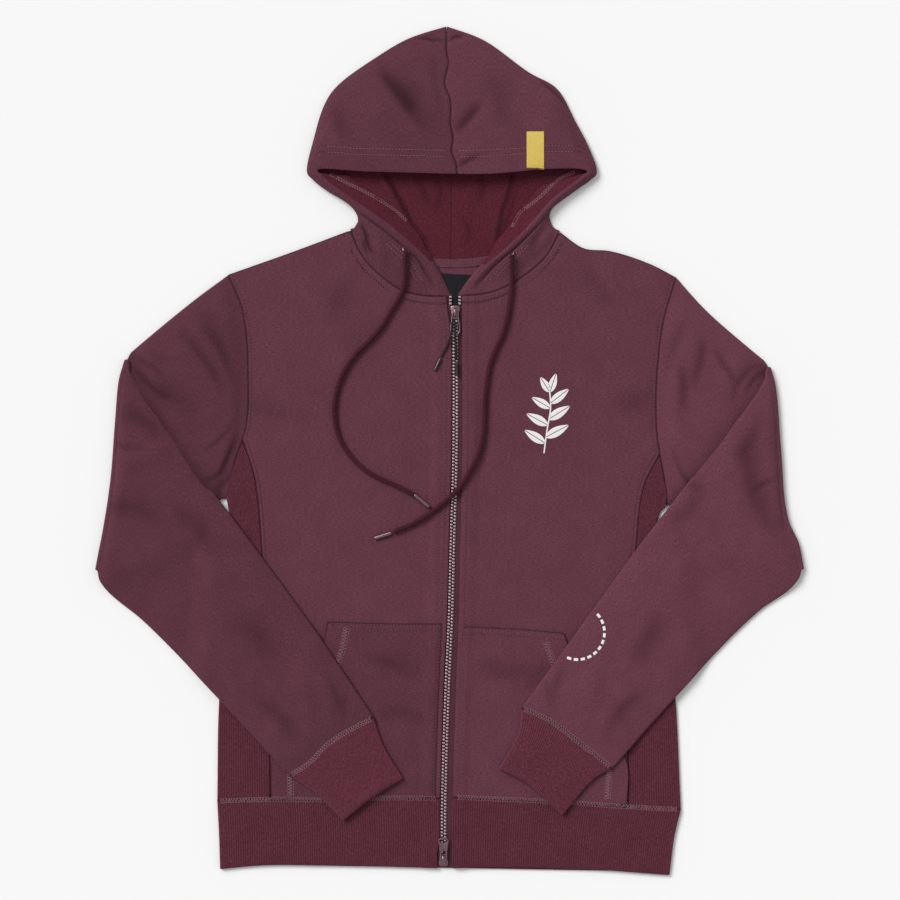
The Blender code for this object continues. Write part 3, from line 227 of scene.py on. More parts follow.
# %% Grid, thickness and body
def as_mesh(name, shape):
    """Writes a bmesh to a new mesh and frees it."""
    mesh = bpy.data.meshes.new(name)
    shape.to_mesh(mesh)
    shape.free()
    return mesh


def gathered(name, parts, sharp=False):
    """Several bmeshes or meshes as one smooth mesh."""
    whole = bmesh.new()
    for part in parts:
        part = part if isinstance(part, bpy.types.Mesh) else as_mesh("part", part)
        whole.from_mesh(part)
        bpy.data.meshes.remove(part)
    mesh = as_mesh(name, whole)
    mesh.shade_smooth()
    if sharp:
        mesh.set_sharp_from_angle(angle=0.7)
    return mesh


def sheet_mesh(name, places, grain, closed=False, up_columns=None, **measures):
    """The operator's grid moved to rows of places. closed welds the last column to the first.

    Each further measure is kept as an attribute of the points, such as the distance to a seam.
    """
    count_v, count_u = places.shape[:2]
    shape = bmesh.new()
    shape.loops.layers.uv.new("grain")
    bmesh.ops.create_grid(shape, x_segments=count_u - 1, y_segments=count_v - 1, size=0.5,
                          calc_uvs=True)
    mesh = as_mesh(name, shape)
    flat = np.empty(len(mesh.vertices) * 3)
    mesh.vertices.foreach_get("co", flat)
    flat = flat.reshape(-1, 3)
    share = (flat - flat.min(0)) / np.maximum(flat.max(0) - flat.min(0), 1e-9)
    column = np.rint(share[:, 0] * (count_u - 1)).astype(int)
    row = np.rint(share[:, 1] * (count_v - 1)).astype(int)
    mesh.vertices.foreach_set("co", (places[row, column] * METRE).ravel())
    corners = np.empty(len(mesh.loops), int)
    mesh.loops.foreach_get("vertex_index", corners)
    mesh.uv_layers["grain"].data.foreach_set("uv", (grain[row, column] * METRE)[corners].ravel())
    empty = np.zeros(places.shape[:2])
    # Seam and row distances and the painted shade are kept for the knit, which paints shade from all three.
    for label, measure in {"seam": empty + 99, "row": empty + 99, "tuck": empty, **measures}.items():
        kept = mesh.attributes.new(label, "FLOAT", "POINT")
        kept.data.foreach_set("value", measure[row, column].astype(np.float32).ravel())
    mesh.update()
    shape = bmesh.new()
    shape.from_mesh(mesh)
    if closed:
        bmesh.ops.remove_doubles(shape, verts=shape.verts, dist=1e-7)
        bmesh.ops.recalc_face_normals(shape, faces=shape.faces)
    else:
        ways = np.cross(places[0:-1, 1:] - places[0:-1, :-1], places[1:, :-1] - places[:-1, :-1])
        facing = ways[:, up_columns] if up_columns else ways
        if facing[..., 2].sum() < 0:
            bmesh.ops.reverse_faces(shape, faces=shape.faces)
    shape.to_mesh(mesh)
    shape.free()
    mesh.shade_smooth()
    return mesh


def show(name, mesh, finishes, nodes=(), body="garment"):
    """Puts a mesh in the scene on its body, in the stead of its CAD nodes."""
    piece = bpy.data.objects.new(name, mesh)
    scene.collection.objects.link(piece)
    for finish in finishes:
        mesh.materials.append(finish)
    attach(piece, body)
    if nodes:
        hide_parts(*nodes)
    return piece


def thicken(piece, thickness, rim=0.5, inner_finish=0):
    """A wall to both sides of the sheet, with its raw edges rounded."""
    wall = piece.modifiers.new("thickness", "SOLIDIFY")
    wall.thickness = thickness * METRE
    wall.offset = 0
    wall.material_offset = inner_finish
    edge = piece.modifiers.new("rounded edge", "BEVEL")
    edge.width = rim * METRE
    edge.segments = 2
    edge.limit_method = "ANGLE"
    edge.angle_limit = radians(50)
    return piece


# %% [markdown]
# ## The drawcord and the cord on the pull
# A hoodie's drawcord is a soft braided tube about 5 mm thick. It comes out of an eyelet on each
# side of the neck and lies down the front in one long, loose bow, and ends in a metal tip. The
# slider's pull has a thin black cord through its ring, with two moulded tips. A braid is a tube
# round a route: rings of points follow the line, and the ring's size swells and dips where two
# bundles of yarn cross.

# %% Routes of the cords
DRAWCORDS = {
    "right": [
        (-46, 211.7, 13.6), (-47, 198, 11.5), (-47, 184, 8.7), (-49, 171, 6.9), (-54, 160, 6.5),
        (-62, 147, 6.5), (-72, 131, 6.5), (-84, 117, 6.5), (-97, 104, 6.5), (-107, 91, 6.5),
        (-115, 76, 6.5), (-120, 60, 6.5), (-122, 45, 6.5), (-121, 30, 6.5), (-117, 14, 6.5),
        (-110, 1, 6.5), (-100, -11, 6.5), (-87, -22, 6.5), (-72, -30, 6.5), (-56, -37, 6.5),
        (-37, -47, 6.5)],
    "left": [
        (65.1, 207.6, 13.6), (66, 195, 10.9), (66, 180, 7), (64.5, 160, 6.5), (61, 140, 6.5),
        (56, 122, 6.5), (49, 107, 6.5), (43, 91, 6.5), (40, 75, 6.5), (38, 58, 6.6), (37, 38, 6.7),
        (36, 20, 6.8), (33, 3, 7.3), (27, -12, 7.9), (18, -28, 7.9), (8, -42, 7.9), (-6, -55, 7.9),
        (-22, -67, 7.4), (-38, -77, 6.5), (-60, -86.5, 6.5)]}
DRAWCORD_TIPS = {"right": [(-37.7, -46.4, 6.6), (-21, -60, 7.2)],
                 "left": [(-60.8, -86.8, 6.3), (-80, -93, 6.2)]}
STRANDS = {
    "a": [(2.6, 132, 8.85), (1.4, 121, 8.85), (-1, 114, 7.6), (-5, 106, 6.4), (-9, 98.5, 6.4)],
    "b": [(6.4, 132, 8.85), (6, 121, 8.85), (6.8, 112, 7.1), (7.2, 103, 6.4), (7.4, 95, 6.4)]}
STRAND_TIPS = {"a": [(-9.4, 97.8, 6.9), (-16, 84, 6.9)], "b": [(7.4, 94.2, 6.9), (8, 78, 6.9)]}


def tube_places(path, radii, around, relief=0.0, pitch=3.2):
    """Rings of places round a route, and the tube's own measure round and along."""
    ahead = np.gradient(path, axis=0)
    ahead /= np.linalg.norm(ahead, axis=1, keepdims=True)
    aside = np.cross(ahead, (0, 0, 1.0))
    aside /= np.linalg.norm(aside, axis=1, keepdims=True)
    over = np.cross(aside, ahead)
    steps = np.linalg.norm(np.diff(path, axis=0), axis=1)
    along = np.concatenate([[0], np.cumsum(steps)])[:, None]
    turn = np.linspace(0, 2 * pi, around + 1)[None, :]
    crossing = np.cos(turn * 4 + along * 2 * pi / pitch) * np.cos(turn * 4 - along * 2 * pi / pitch)
    radius = np.asarray(radii)[:, None] * (1 + relief * crossing)
    places = (path[:, None] + aside[:, None] * (radius * np.cos(turn))[..., None]
              + over[:, None] * (radius * np.sin(turn))[..., None])
    grain = np.stack([turn * np.max(radii) + 0 * along, along + 0 * turn], -1)
    return places, grain


def rounded_ends(count, radius, reach):
    """Radii that close a tube at both of its ends."""
    from_end = np.minimum(np.arange(count), np.arange(count)[::-1])
    share = np.clip(from_end / reach, 0, 1)
    return radius * np.sqrt(np.maximum(1 - (1 - share) ** 2, 0.0004))


def cord_piece(name, route, diameter, spacing, around, relief, node, finish, body, reach=3):
    line = smooth(route)
    length = length_of(line)
    path = line(np.linspace(0, 1, int(length / spacing) + 1))
    radii = rounded_ends(len(path), diameter / 2, reach)
    mesh = sheet_mesh(name, *tube_places(path, radii, around, relief), closed=True)
    return show(name, mesh, [finish], [node], body), path * METRE, length * METRE


# %% [markdown]
# ## Yarn, knit and metal in nodes
# What the eye reads as sweatshirt cloth is mostly small: a melange yarn that gives fine pale
# streaks along each row of stitches, tiny V-shaped loops, and a soft haze of fibre. Those are
# built once as node groups that read the cloth's own UV measure, and each material sets its own
# colours and sizes. The groups put out colours and heights, and the shader stays in the
# material.

# %% Helpers for node groups
def new_group(name, inputs, outputs):
    made = bpy.data.node_groups.new(name, "ShaderNodeTree")
    for label, kind, value in inputs:
        socket = made.interface.new_socket(label, in_out="INPUT", socket_type=kind)
        if value is not None:
            socket.default_value = value
    for label, kind in outputs:
        made.interface.new_socket(label, in_out="OUTPUT", socket_type=kind)
    return made, made.nodes.new("NodeGroupInput").outputs, made.nodes.new("NodeGroupOutput").inputs


def put(tree, kind, *links, out=0, **settings):
    """A node with its first inputs linked or set in order. Returns one of its outputs."""
    made = tree.nodes.new(kind)
    for key, value in settings.items():
        setattr(made, key, value)
    for place, source in enumerate(links):
        if isinstance(source, bpy.types.NodeSocket):
            tree.links.new(source, made.inputs[place])
        elif source is not None:
            made.inputs[place].default_value = source
    return made.outputs[out]


def math_of(tree, operation, *values):
    return put(tree, "ShaderNodeMath", *values, operation=operation)


def noise_of(tree, vector, scale, detail=2.0, roughness=0.5):
    made = tree.nodes.new("ShaderNodeTexNoise")
    tree.links.new(vector, made.inputs["Vector"])
    made.inputs["Scale"].default_value = scale
    made.inputs["Detail"].default_value = detail
    made.inputs["Roughness"].default_value = roughness
    return made.outputs[0]


def spread(tree, value, low, high, to_low=0.0, to_high=1.0):
    return put(tree, "ShaderNodeMapRange", value, low, high, to_low, to_high)


def mix_colours(tree, factor, a, b):
    made = tree.nodes.new("ShaderNodeMix")
    made.data_type = "RGBA"
    for place, source in ((0, factor), (6, a), (7, b)):
        if isinstance(source, bpy.types.NodeSocket):
            tree.links.new(source, made.inputs[place])
        else:
            made.inputs[place].default_value = source
    return made.outputs[2]


# %% The knit group
knit_group, given, result = new_group(
    "knit", [("Vector", "NodeSocketVector", None), ("Shade", "NodeSocketColor", None),
             ("Pale", "NodeSocketColor", None), ("Streak Length", "NodeSocketFloat", 5.0),
             ("Streak Height", "NodeSocketFloat", 1.1), ("Stitch", "NodeSocketFloat", 1.1),
             ("Seam", "NodeSocketFloat", 99.0), ("Row", "NodeSocketFloat", 99.0),
             ("Painted Fold Shade", "NodeSocketFloat", 0.0)],
    [("Color", "NodeSocketColor"), ("Height", "NodeSocketFloat")])
tree = knit_group


def calc(operation, *values):
    return math_of(knit_group, operation, *values)


def near(distance, closest, farthest):
    """1 on a seam or a row of stitches, softly down to 0 beside it."""
    return put(tree, "ShaderNodeMapRange", calc("ABSOLUTE", distance), closest, farthest, 1.0, 0.0,
               interpolation_type="SMOOTHSTEP")


in_mm = put(tree, "ShaderNodeVectorMath", given["Vector"], (1000, 1000, 1000), operation="MULTIPLY")
axes = tree.nodes.new("ShaderNodeSeparateXYZ")
tree.links.new(in_mm, axes.inputs[0])
across, along = axes.outputs[0], axes.outputs[1]
streak_at = put(tree, "ShaderNodeCombineXYZ", calc("DIVIDE", across, given["Streak Length"]),
                calc("DIVIDE", along, given["Streak Height"]), 0.0)
streak = spread(tree, noise_of(tree, streak_at, 1.0, 3.0, 0.6), 0.32, 0.70)
cloud = spread(tree, noise_of(tree, in_mm, 0.035, 2.0, 0.5), 0.3, 0.7)
fleck = spread(tree, noise_of(tree, in_mm, 1.3, 2.0, 0.6), 0.45, 0.75)
share = calc("FRACT", calc("DIVIDE", across, given["Stitch"]))
wale = calc("ABSOLUTE", calc("SUBTRACT", share, 0.5))
course = calc("ADD", calc("DIVIDE", along, calc("MULTIPLY", given["Stitch"], 0.8)), calc("MULTIPLY", wale, 0.9))
loop = spread(tree, calc("SINE", calc("MULTIPLY", course, 2 * pi)), -1.0, 1.0)
column = spread(tree, wale, 0.5, 0.1)
in_seam, in_row = near(given["Seam"], 0.25, 1.9), near(given["Row"], 0.1, 1.3)
yarn = calc("ADD", calc("MULTIPLY", loop, calc("SQRT", column)), calc("MULTIPLY", fleck, 0.5))
groove_bump_and_painted_shade = calc("ADD", calc("MULTIPLY", in_seam, 2.5), calc("MULTIPLY", in_row, 1.6))
tree.links.new(calc("SUBTRACT", yarn, groove_bump_and_painted_shade), result["Height"])
mixed = mix_colours(tree, streak, given["Shade"], given["Pale"])
paler = mix_colours(tree, calc("MULTIPLY", fleck, 0.25), mixed, given["Pale"])
darker = calc("MULTIPLY", calc("SUBTRACT", 1.0, cloud), 0.25)
dyed = mix_colours(tree, darker, paler, given["Shade"])
# Painted shade: the cloth's colour darkens towards a near-black plum in its seams, along its rows of stitches
# and by its painted fold shade.
painted_seam_fold_shade = calc("ADD", calc("MULTIPLY", in_seam, 0.62),
              calc("ADD", calc("MULTIPLY", in_row, 0.30), given["Painted Fold Shade"]))
painted_seam_fold_shade = put(tree, "ShaderNodeClamp", painted_seam_fold_shade, 0.0, 0.85)
tree.links.new(mix_colours(tree, painted_seam_fold_shade, dyed, (0.012, 0.002, 0.004, 1)), result["Color"])

# %% Materials
def new_material(name, colour, roughness, metallic=0.0, **sockets):
    """A Principled material. Numbers that are the same all over sit on the shader itself."""
    made = bpy.data.materials.new(name)
    made.use_nodes = True
    shader = made.node_tree.nodes["Principled BSDF"]
    shader.inputs["Base Color"].default_value = (*colour, 1)
    shader.inputs["Roughness"].default_value = roughness
    shader.inputs["Metallic"].default_value = metallic
    for label, value in sockets.items():
        shader.inputs[label.replace("_", " ")].default_value = value
    return made, made.node_tree, shader


def add_bump(tree, shader, height, strength, distance):
    bump = tree.nodes.new("ShaderNodeBump")
    bump.inputs["Strength"].default_value = strength
    bump.inputs["Distance"].default_value = distance * METRE
    tree.links.new(height, bump.inputs["Height"])
    tree.links.new(bump.outputs[0], shader.inputs["Normal"])


def knit_material(name, shade, pale, length=5.0, height=1.1, stitch=1.1, strength=0.35,
                  marked=False, sheen=0.12):
    """Knitted cloth. marked cloth reads the distances to its seams and rows, and its painted shade."""
    made, tree, shader = new_material(name, shade, 0.92, Sheen_Weight=sheen, Sheen_Roughness=0.45,
                                      Specular_IOR_Level=0.12)
    shader.inputs["Sheen Tint"].default_value = (0.9, 0.6, 0.66, 1)
    knit = tree.nodes.new("ShaderNodeGroup")
    knit.node_tree = knit_group
    measure = tree.nodes.new("ShaderNodeUVMap")
    measure.uv_map = "grain"
    tree.links.new(measure.outputs[0], knit.inputs["Vector"])
    if marked:
        for label, kept in (("Seam", "seam"), ("Row", "row"), ("Painted Fold Shade", "tuck")):
            from_piece = tree.nodes.new("ShaderNodeAttribute")
            from_piece.attribute_name = kept
            tree.links.new(from_piece.outputs["Fac"], knit.inputs[label])
    for label, value in (("Shade", (*shade, 1)), ("Pale", (*pale, 1)), ("Streak Length", length),
                         ("Streak Height", height), ("Stitch", stitch)):
        knit.inputs[label].default_value = value
    tree.links.new(knit.outputs["Color"], shader.inputs["Base Color"])
    add_bump(tree, shader, knit.outputs["Height"], strength, 0.25)
    return made


jersey = knit_material("plum melange jersey", (0.083, 0.0205, 0.0340), (0.158, 0.058, 0.082),
                       length=3.2, height=0.75, strength=0.3, marked=True)
lining = knit_material("wine brushed inside", (0.062, 0.0075, 0.0150), (0.112, 0.022, 0.036),
                       length=2.2, height=2.2, stitch=1.6, marked=True)
ribbing = knit_material("wine ribbing", (0.070, 0.0135, 0.0225), (0.150, 0.041, 0.060),
                        length=1.0, height=3.0, stitch=1.25, marked=True)
# Painted light: a paler copy of the jersey on the wearer's left sleeve. Painted shade: a deeper copy on the
# wearer's right sleeve, hood half and pocket.
sleeve_painted_light_jersey = {
    "right": knit_material("plum jersey painted shade", (0.072, 0.0175, 0.0295), (0.138, 0.050, 0.071),
                           length=3.2, height=0.75, strength=0.3, marked=True),
    "left": knit_material("plum jersey painted light", (0.091, 0.0225, 0.0372), (0.173, 0.063, 0.089),
                          length=3.2, height=0.75, strength=0.3, marked=True)}
hood_painted_shade_jersey = {"right": sleeve_painted_light_jersey["right"], "left": jersey}
cuff_ribbing = knit_material("wine cuff ribbing", (0.080, 0.0155, 0.0255), (0.172, 0.047, 0.069),
                             length=1.0, height=3.0, stitch=1.25, marked=True)
taping = knit_material("zip tape twill", (0.055, 0.014, 0.022), (0.120, 0.045, 0.062),
                       length=1.2, height=0.6, stitch=0.7, strength=0.5)
cording = knit_material("drawcord braid", (0.030, 0.004, 0.009), (0.085, 0.018, 0.032),
                        length=0.8, height=1.6, stitch=1.3, strength=0.5)
yellow_weave = knit_material("yellow woven tab", (0.60, 0.385, 0.045), (0.95, 0.76, 0.24),
                             length=1.6, height=0.5, stitch=0.6, strength=0.6)
label_satin = knit_material("black woven label", (0.004, 0.004, 0.006), (0.012, 0.012, 0.017),
                            length=1.5, height=0.4, stitch=0.5, strength=0.3, sheen=0.0)
satin = label_satin.node_tree.nodes["Principled BSDF"]
satin.inputs["Roughness"].default_value = 0.5
satin.inputs["Specular IOR Level"].default_value = 0.14
print("materials made:", len(bpy.data.materials))


def grained_material(name, colour, other, scale, roughness, metallic, strength, **sockets):
    """Cast, drawn or moulded stuff: a mottled colour and roughness and a faint uneven face."""
    made, tree, shader = new_material(name, colour, roughness, metallic, **sockets)
    place = tree.nodes.new("ShaderNodeTexCoord").outputs["Object"]
    mottle = noise_of(tree, place, scale * 1000, 3.0, 0.6)
    share = spread(tree, mottle, 0.3, 0.7)
    tree.links.new(mix_colours(tree, share, (*colour, 1), (*other, 1)), shader.inputs["Base Color"])
    tree.links.new(spread(tree, mottle, 0.3, 0.7, roughness * 0.8, roughness * 1.25),
                   shader.inputs["Roughness"])
    add_bump(tree, shader, mottle, strength, 0.05)
    return made


dark_thread = grained_material("plum seam thread", (0.120, 0.040, 0.057), (0.19, 0.080, 0.103),
                               0.9, 0.7, 0.0, 0.3)
soft_thread = grained_material("mauve seam thread", (0.20, 0.082, 0.105), (0.30, 0.145, 0.172),
                               0.9, 0.7, 0.0, 0.3)
rose_metal = grained_material("rose nickel", (0.30, 0.19, 0.215), (0.20, 0.12, 0.14), 0.6, 0.36, 1.0, 0.15)
tooth_metal = grained_material("pale zip teeth", (0.60, 0.48, 0.52), (0.42, 0.32, 0.36), 0.8, 0.34, 0.7, 0.1)
black_cord = grained_material("black cord", (0.012, 0.012, 0.014), (0.022, 0.022, 0.026), 2.0, 0.8, 0.0, 0.5,
                              Specular_IOR_Level=0.2)
black_plastic = grained_material("black moulded tip", (0.010, 0.010, 0.012), (0.022, 0.022, 0.026),
                                 0.7, 0.25, 0.0, 0.1, Coat_Weight=0.4)
print_ink = grained_material("white print", (0.86, 0.84, 0.82), (0.76, 0.73, 0.72), 1.2, 0.55, 0.0, 0.35)

# %% The cords lie down
for side, route in DRAWCORDS.items():
    piece, path, length = cord_piece("drawcord_braid_" + side, route, 5.0, 0.8, 16, 0.07,
                                     "drawcord_" + side, cording, "garment")
    tip, _, _ = cord_piece("drawcord_tip_metal_" + side, DRAWCORD_TIPS[side], 4.4, 0.7, 16, 0.0,
                           "cord_tip_" + side, rose_metal, "garment", reach=2)
    print(piece.name, "is", round(length, 3), "m long")
for name, route in STRANDS.items():
    piece, path, length = cord_piece("pull_cord_" + name, route, 2.0, 0.6, 10, 0.08,
                                     "pull_strand_" + name, black_cord, "pull_top", reach=2)
    tip, _, _ = cord_piece("pull_cord_tip_" + name, STRAND_TIPS[name], 3.0, 0.6, 12, 0.0,
                           "pull_tip_" + name, black_plastic, "pull_top", reach=2)
    print(piece.name, "is", round(length, 3), "m long")

# %% [markdown]
# ## The pattern's marks
# These tables are the garment's outlines seen from above, taken from the CAD source. Fronts,
# side panels, sleeves and pockets of the two sides differ a little, as a garment laid out by
# hand always does. The heights say how the layers lie on each other: back on the floor, front
# on the back, pocket and sleeve on the front.

# %% Thicknesses, heights and outlines
CLOTH, RIB_CLOTH, RIB_HEIGHT, BETWEEN, SIDE_SEAM = 1.6, 2.0, 0.5, 0.4, 0.12
BACK_Z, FRONT_Z, FOLD_Z, LEAF, RIB_LEAF = 0.8, 2.8, 1.8, 1.0, 1.2
POCKET_RISE, POCKET_SET_IN, ELBOW_RADIUS, FRONT_WIDTH = 1.95, 5.0, 2.05, 180.0
SEAM_SHARE, NECK_SHARE = 0.65, 0.48
ZIP_LINE = [(-6.5, -445), (-6, -370), (-2, -243), (1, -180), (3, -105), (6, 1), (6, 160)]
BACK_NECK = [(-105, 233), (-52, 207), (1, 199), (64, 208), (117, 231)]
OUTLINES = {
    "right": {
        "neck": [(-3.5, 163), (-28, 164), (-49, 169), (-74, 186), (-93, 207), (-105, 233)],
        "shoulder": [(-105, 233), (-158, 213), (-234, 186)],
        "armhole": [(-234, 186), (-219, 149), (-213, 75), (-216, 22), (-226, -6), (-237, -43)],
        "front_seam": [(-218, 10), (-206, -30), (-199, -100), (-191, -264), (-189, -369)],
        "side": [(-237, -43), (-235, -58), (-231, -80), (-230, -112), (-244, -264), (-246, -371)],
        "hem_seam": [(-10, -368), (-84, -368), (-132, -370), (-174, -369), (-246, -371)],
        "hem_end": [(-9, -442), (-84, -440), (-140, -439), (-196, -439), (-243, -443)],
        "hem_side": [(-246, -371), (-244, -410), (-243, -443)],
        "overarm": [(-234, 186), (-268, 161), (-322, 117), (-344, 98)],
        "elbow": [(-344, 98), (-350, 75), (-354, 32), (-359, -31), (-367, -84), (-376, -128)],
        "underarm": [(-237, -43), (-247, -57), (-300, -88), (-376, -128)],
        "forearm_over": [(-344, 98), (-335, 78), (-286, 5), (-201, -109), (-137, -197), (-80, -282)],
        "forearm_under": [(-376, -128), (-363, -148), (-325, -180), (-244, -263), (-169, -344)],
        "cuff_seam": [(-80, -282), (-127, -309), (-148, -330), (-169, -344)],
        "cuff_over": [(-80, -282), (-70, -311), (-49, -346)],
        "cuff_under": [(-169, -344), (-140, -363), (-113, -391)],
        "cuff_end": [(-49, -346), (-79, -364), (-113, -391)],
        "pocket_top": [(-8, -183), (-60, -183), (-129, -181)],
        "pocket_mouth": [(-129, -181), (-134, -207), (-158, -264), (-187, -325), (-189, -369)]},
    "left": {
        "neck": [(13.5, 164), (32, 165), (54, 171), (80, 186), (101, 204), (117, 231)],
        "shoulder": [(117, 231), (142, 214), (170, 211), (213, 197), (240, 183)],
        "armhole": [(240, 183), (226, 133), (219, 64), (220, 16), (225, -16), (233, -56)],
        "front_seam": [(222, -5), (206, -38), (198, -100), (190, -264), (188, -374)],
        "side": [(233, -56), (222, -67), (223, -116), (238, -243), (245, -380)],
        "hem_seam": [(4, -367), (54, -369), (133, -373), (186, -377), (245, -380)],
        "hem_end": [(3, -442), (54, -441), (107, -442), (160, -444), (233, -449.4)],
        "hem_side": [(245, -380), (238, -410), (233, -449.4)],
        "overarm": [(240, 183), (271, 149), (319, 107), (340, 90)],
        "elbow": [(340, 90), (345, 70), (351, 1), (359, -74), (369, -96), (376.2, -127)],
        "underarm": [(233, -56), (300, -92), (376.2, -127)],
        "forearm_over": [(340, 90), (332, 73), (276, -3), (198, -104), (138, -187), (76, -272)],
        "forearm_under": [(376.2, -127), (359, -148), (329, -169), (239, -261), (172, -336)],
        "cuff_seam": [(76, -272), (107, -286), (138, -309), (172, -336)],
        "cuff_over": [(76, -272), (73, -296), (52, -336)],
        "cuff_under": [(172, -336), (154, -346), (119, -386)],
        "cuff_end": [(52, -336), (80, -350), (107, -374), (119, -386)],
        "pocket_top": [(14, -186), (75, -189), (121, -193)],
        "pocket_mouth": [(121, -193), (131, -220), (160, -280), (188, -330), (188, -374)]}}
LINES = {side: {name: smooth(marks) for name, marks in table.items()}
         for side, table in OUTLINES.items()}
SIGN = {"right": -1, "left": 1}
zip_marks = smooth(ZIP_LINE)(np.linspace(0, 1, 400))


def zip_x(y):
    """The zip's middle at a height up the front."""
    return np.interp(y, zip_marks[:, 1], zip_marks[:, 0])


def placket(x, y):
    """How far the turned edge and the tape under it lift the front."""
    return 1.4 * fade(np.abs(x - zip_x(y)), 18, 9)


def front_gap(side, y):
    """From the zip's middle to the cloth's edge. It widens round the two sliders."""
    if side == "right":
        return 4.2 + 5.3 * ease((y - 118) / 45) + 2.6 * fade(y, -424, 10)
    return 9.6 - 2.2 * ease((y + 367) / 480)


def front_edge(side, low=None, high=None):
    low = OUTLINES[side]["hem_seam"][0][1] if low is None else low
    high = OUTLINES[side]["neck"][0][1] if high is None else high

    def at(share):
        y = blend(low, high, np.asarray(share, float))
        return np.stack([zip_x(y) + SIGN[side] * front_gap(side, y), y], -1)

    return at


def lying_height(side, x, y):
    """What a folded-in forearm rests on: the upper arm, the body, the pocket or the floor."""
    lines, sign = LINES[side], SIGN[side]
    stack = 2 * CLOTH + 2 * BETWEEN
    beyond_arm = sign * -beyond(lines["underarm"], x, y)
    beyond_side = sign * beyond(joined(lines["side"], lines["hem_side"], 0.8), x, y)
    over_body = (stack + RIB_HEIGHT) * fade(beyond_side, 14, 28)
    beyond_mouth = sign * beyond(lines["pocket_mouth"], x, y)
    over_pocket = POCKET_RISE * np.minimum(fade(beyond_mouth, 3, 24), fade(y, -186, 18))
    hem = 0.8 * fade(y, -366, 14) * fade(beyond_side, 3, 20)
    over_arm = stack * fade(beyond_arm, 8, 30)
    return np.maximum(over_arm, over_body + np.maximum(over_pocket, hem))


# %% [markdown]
# ## Relief: hand-placed creases and rolling cloth
# Thick fleece doesn't wrinkle finely. It rolls in broad, low swells and keeps a few soft
# creases where it was folded, each a different length and depth. A crease is a short line with
# a half width and a height, and fades out at its ends. The slow swell is a lattice of seeded
# random heights with soft steps between, so every run gives the same cloth.

# %% Creases, swells and seams
def crease_height(x, y, creases):
    """Height from rows of half width, height, lean and the x and y of each mark.

    A crease fades at its ends, and a lean makes one of its sides steeper.
    """
    total = np.zeros(np.shape(x))
    for width, height, lean, *marks in creases:
        nearest, signed, share = nearest_on(smooth(np.reshape(marks, (-1, 2))), x, y, 60)
        taper = np.sin(pi * np.clip(share, 0.02, 0.98)) ** 0.6
        reach = width * np.where(signed > 0, 1 + lean, 1 - lean)
        total += height * taper * np.exp(-(nearest / reach) ** 2)
    return total


def swell(x, y, size, seed):
    """Slow rolling of cloth, from -1 to 1, with one random height every size millimetres."""
    heights = np.random.default_rng(seed).uniform(-1, 1, (64, 64))
    u, v = x / size + 32, y / size + 32
    i, j = np.floor(u).astype(int) % 63, np.floor(v).astype(int) % 63
    a, b = ease(u - np.floor(u)), ease(v - np.floor(v))
    low = heights[i, j] * (1 - a) + heights[i + 1, j] * a
    high = heights[i, j + 1] * (1 - a) + heights[i + 1, j + 1] * a
    return low * (1 - b) + high * b


def seam_relief(distance, rows=(3.2,), depth=0.55):
    """Cloth dives into a seam, swells beside it and is pinched down by each row of stitches."""
    height = -depth * np.exp(-(distance / 1.1) ** 2)
    for row in rows:
        height += 0.22 * np.exp(-((distance - row + 1.7) / 1.2) ** 2)
        height -= 0.32 * np.exp(-((distance - row) / 0.9) ** 2)
    return height


def nearest_row(*pairs):
    """Distance to the nearest row of stitches, from (distance to a seam, rows beside it)."""
    away = np.full(np.shape(pairs[0][0]), 99.0)
    for distance, rows in pairs:
        for row in rows:
            away = np.minimum(away, np.abs(distance - row))
    return away


def tucked(height, deepest=3.0):
    """Painted shade: how much darker cloth is drawn in the valleys of its folds, where shade falls."""
    return np.clip(-height / deepest, 0, 0.6)


def close_ends(length, spacing, at_start=True, at_end=True, steps=(0.8, 1.6, 2.4, 3.3, 4.4, 6, 8)):
    """Shares along a length, evenly spaced, and closer together beside the seams at its ends."""
    low = steps[-1] if at_start else 0.0
    high = length - steps[-1] if at_end else length
    inner = np.linspace(low, high, max(int((high - low) / spacing), 1) + 1)
    parts = [np.array([0.0, *steps[:-1]])] if at_start else []
    parts.append(inner)
    if at_end:
        parts.append(length - np.array([0.0, *steps[:-1]])[::-1])
    return np.concatenate(parts) / length


def measured(places):
    """Running lengths across and along a grid of places, from its first column and row."""
    across = np.linalg.norm(np.diff(places, axis=1), axis=2)
    along = np.linalg.norm(np.diff(places, axis=0), axis=2)
    across = np.concatenate([np.zeros((len(places), 1)), np.cumsum(across, axis=1)], axis=1)
    along = np.concatenate([np.zeros((1, places.shape[1])), np.cumsum(along, axis=0)], axis=0)
    return across, along


def edge_distance(across, along):
    """Distance to the nearest edge of a piece."""
    return np.minimum.reduce([across, across[:, -1:] - across, along, along[-1:] - along])


# %% [markdown]
# ## The two fronts
# Each front is one flat piece from the zip to the side panel's seam, up to the armhole, the
# shoulder and the neck. Its grid's first columns keep an exact distance from the zip, so the
# turned edge and its stitches run straight beside the teeth.

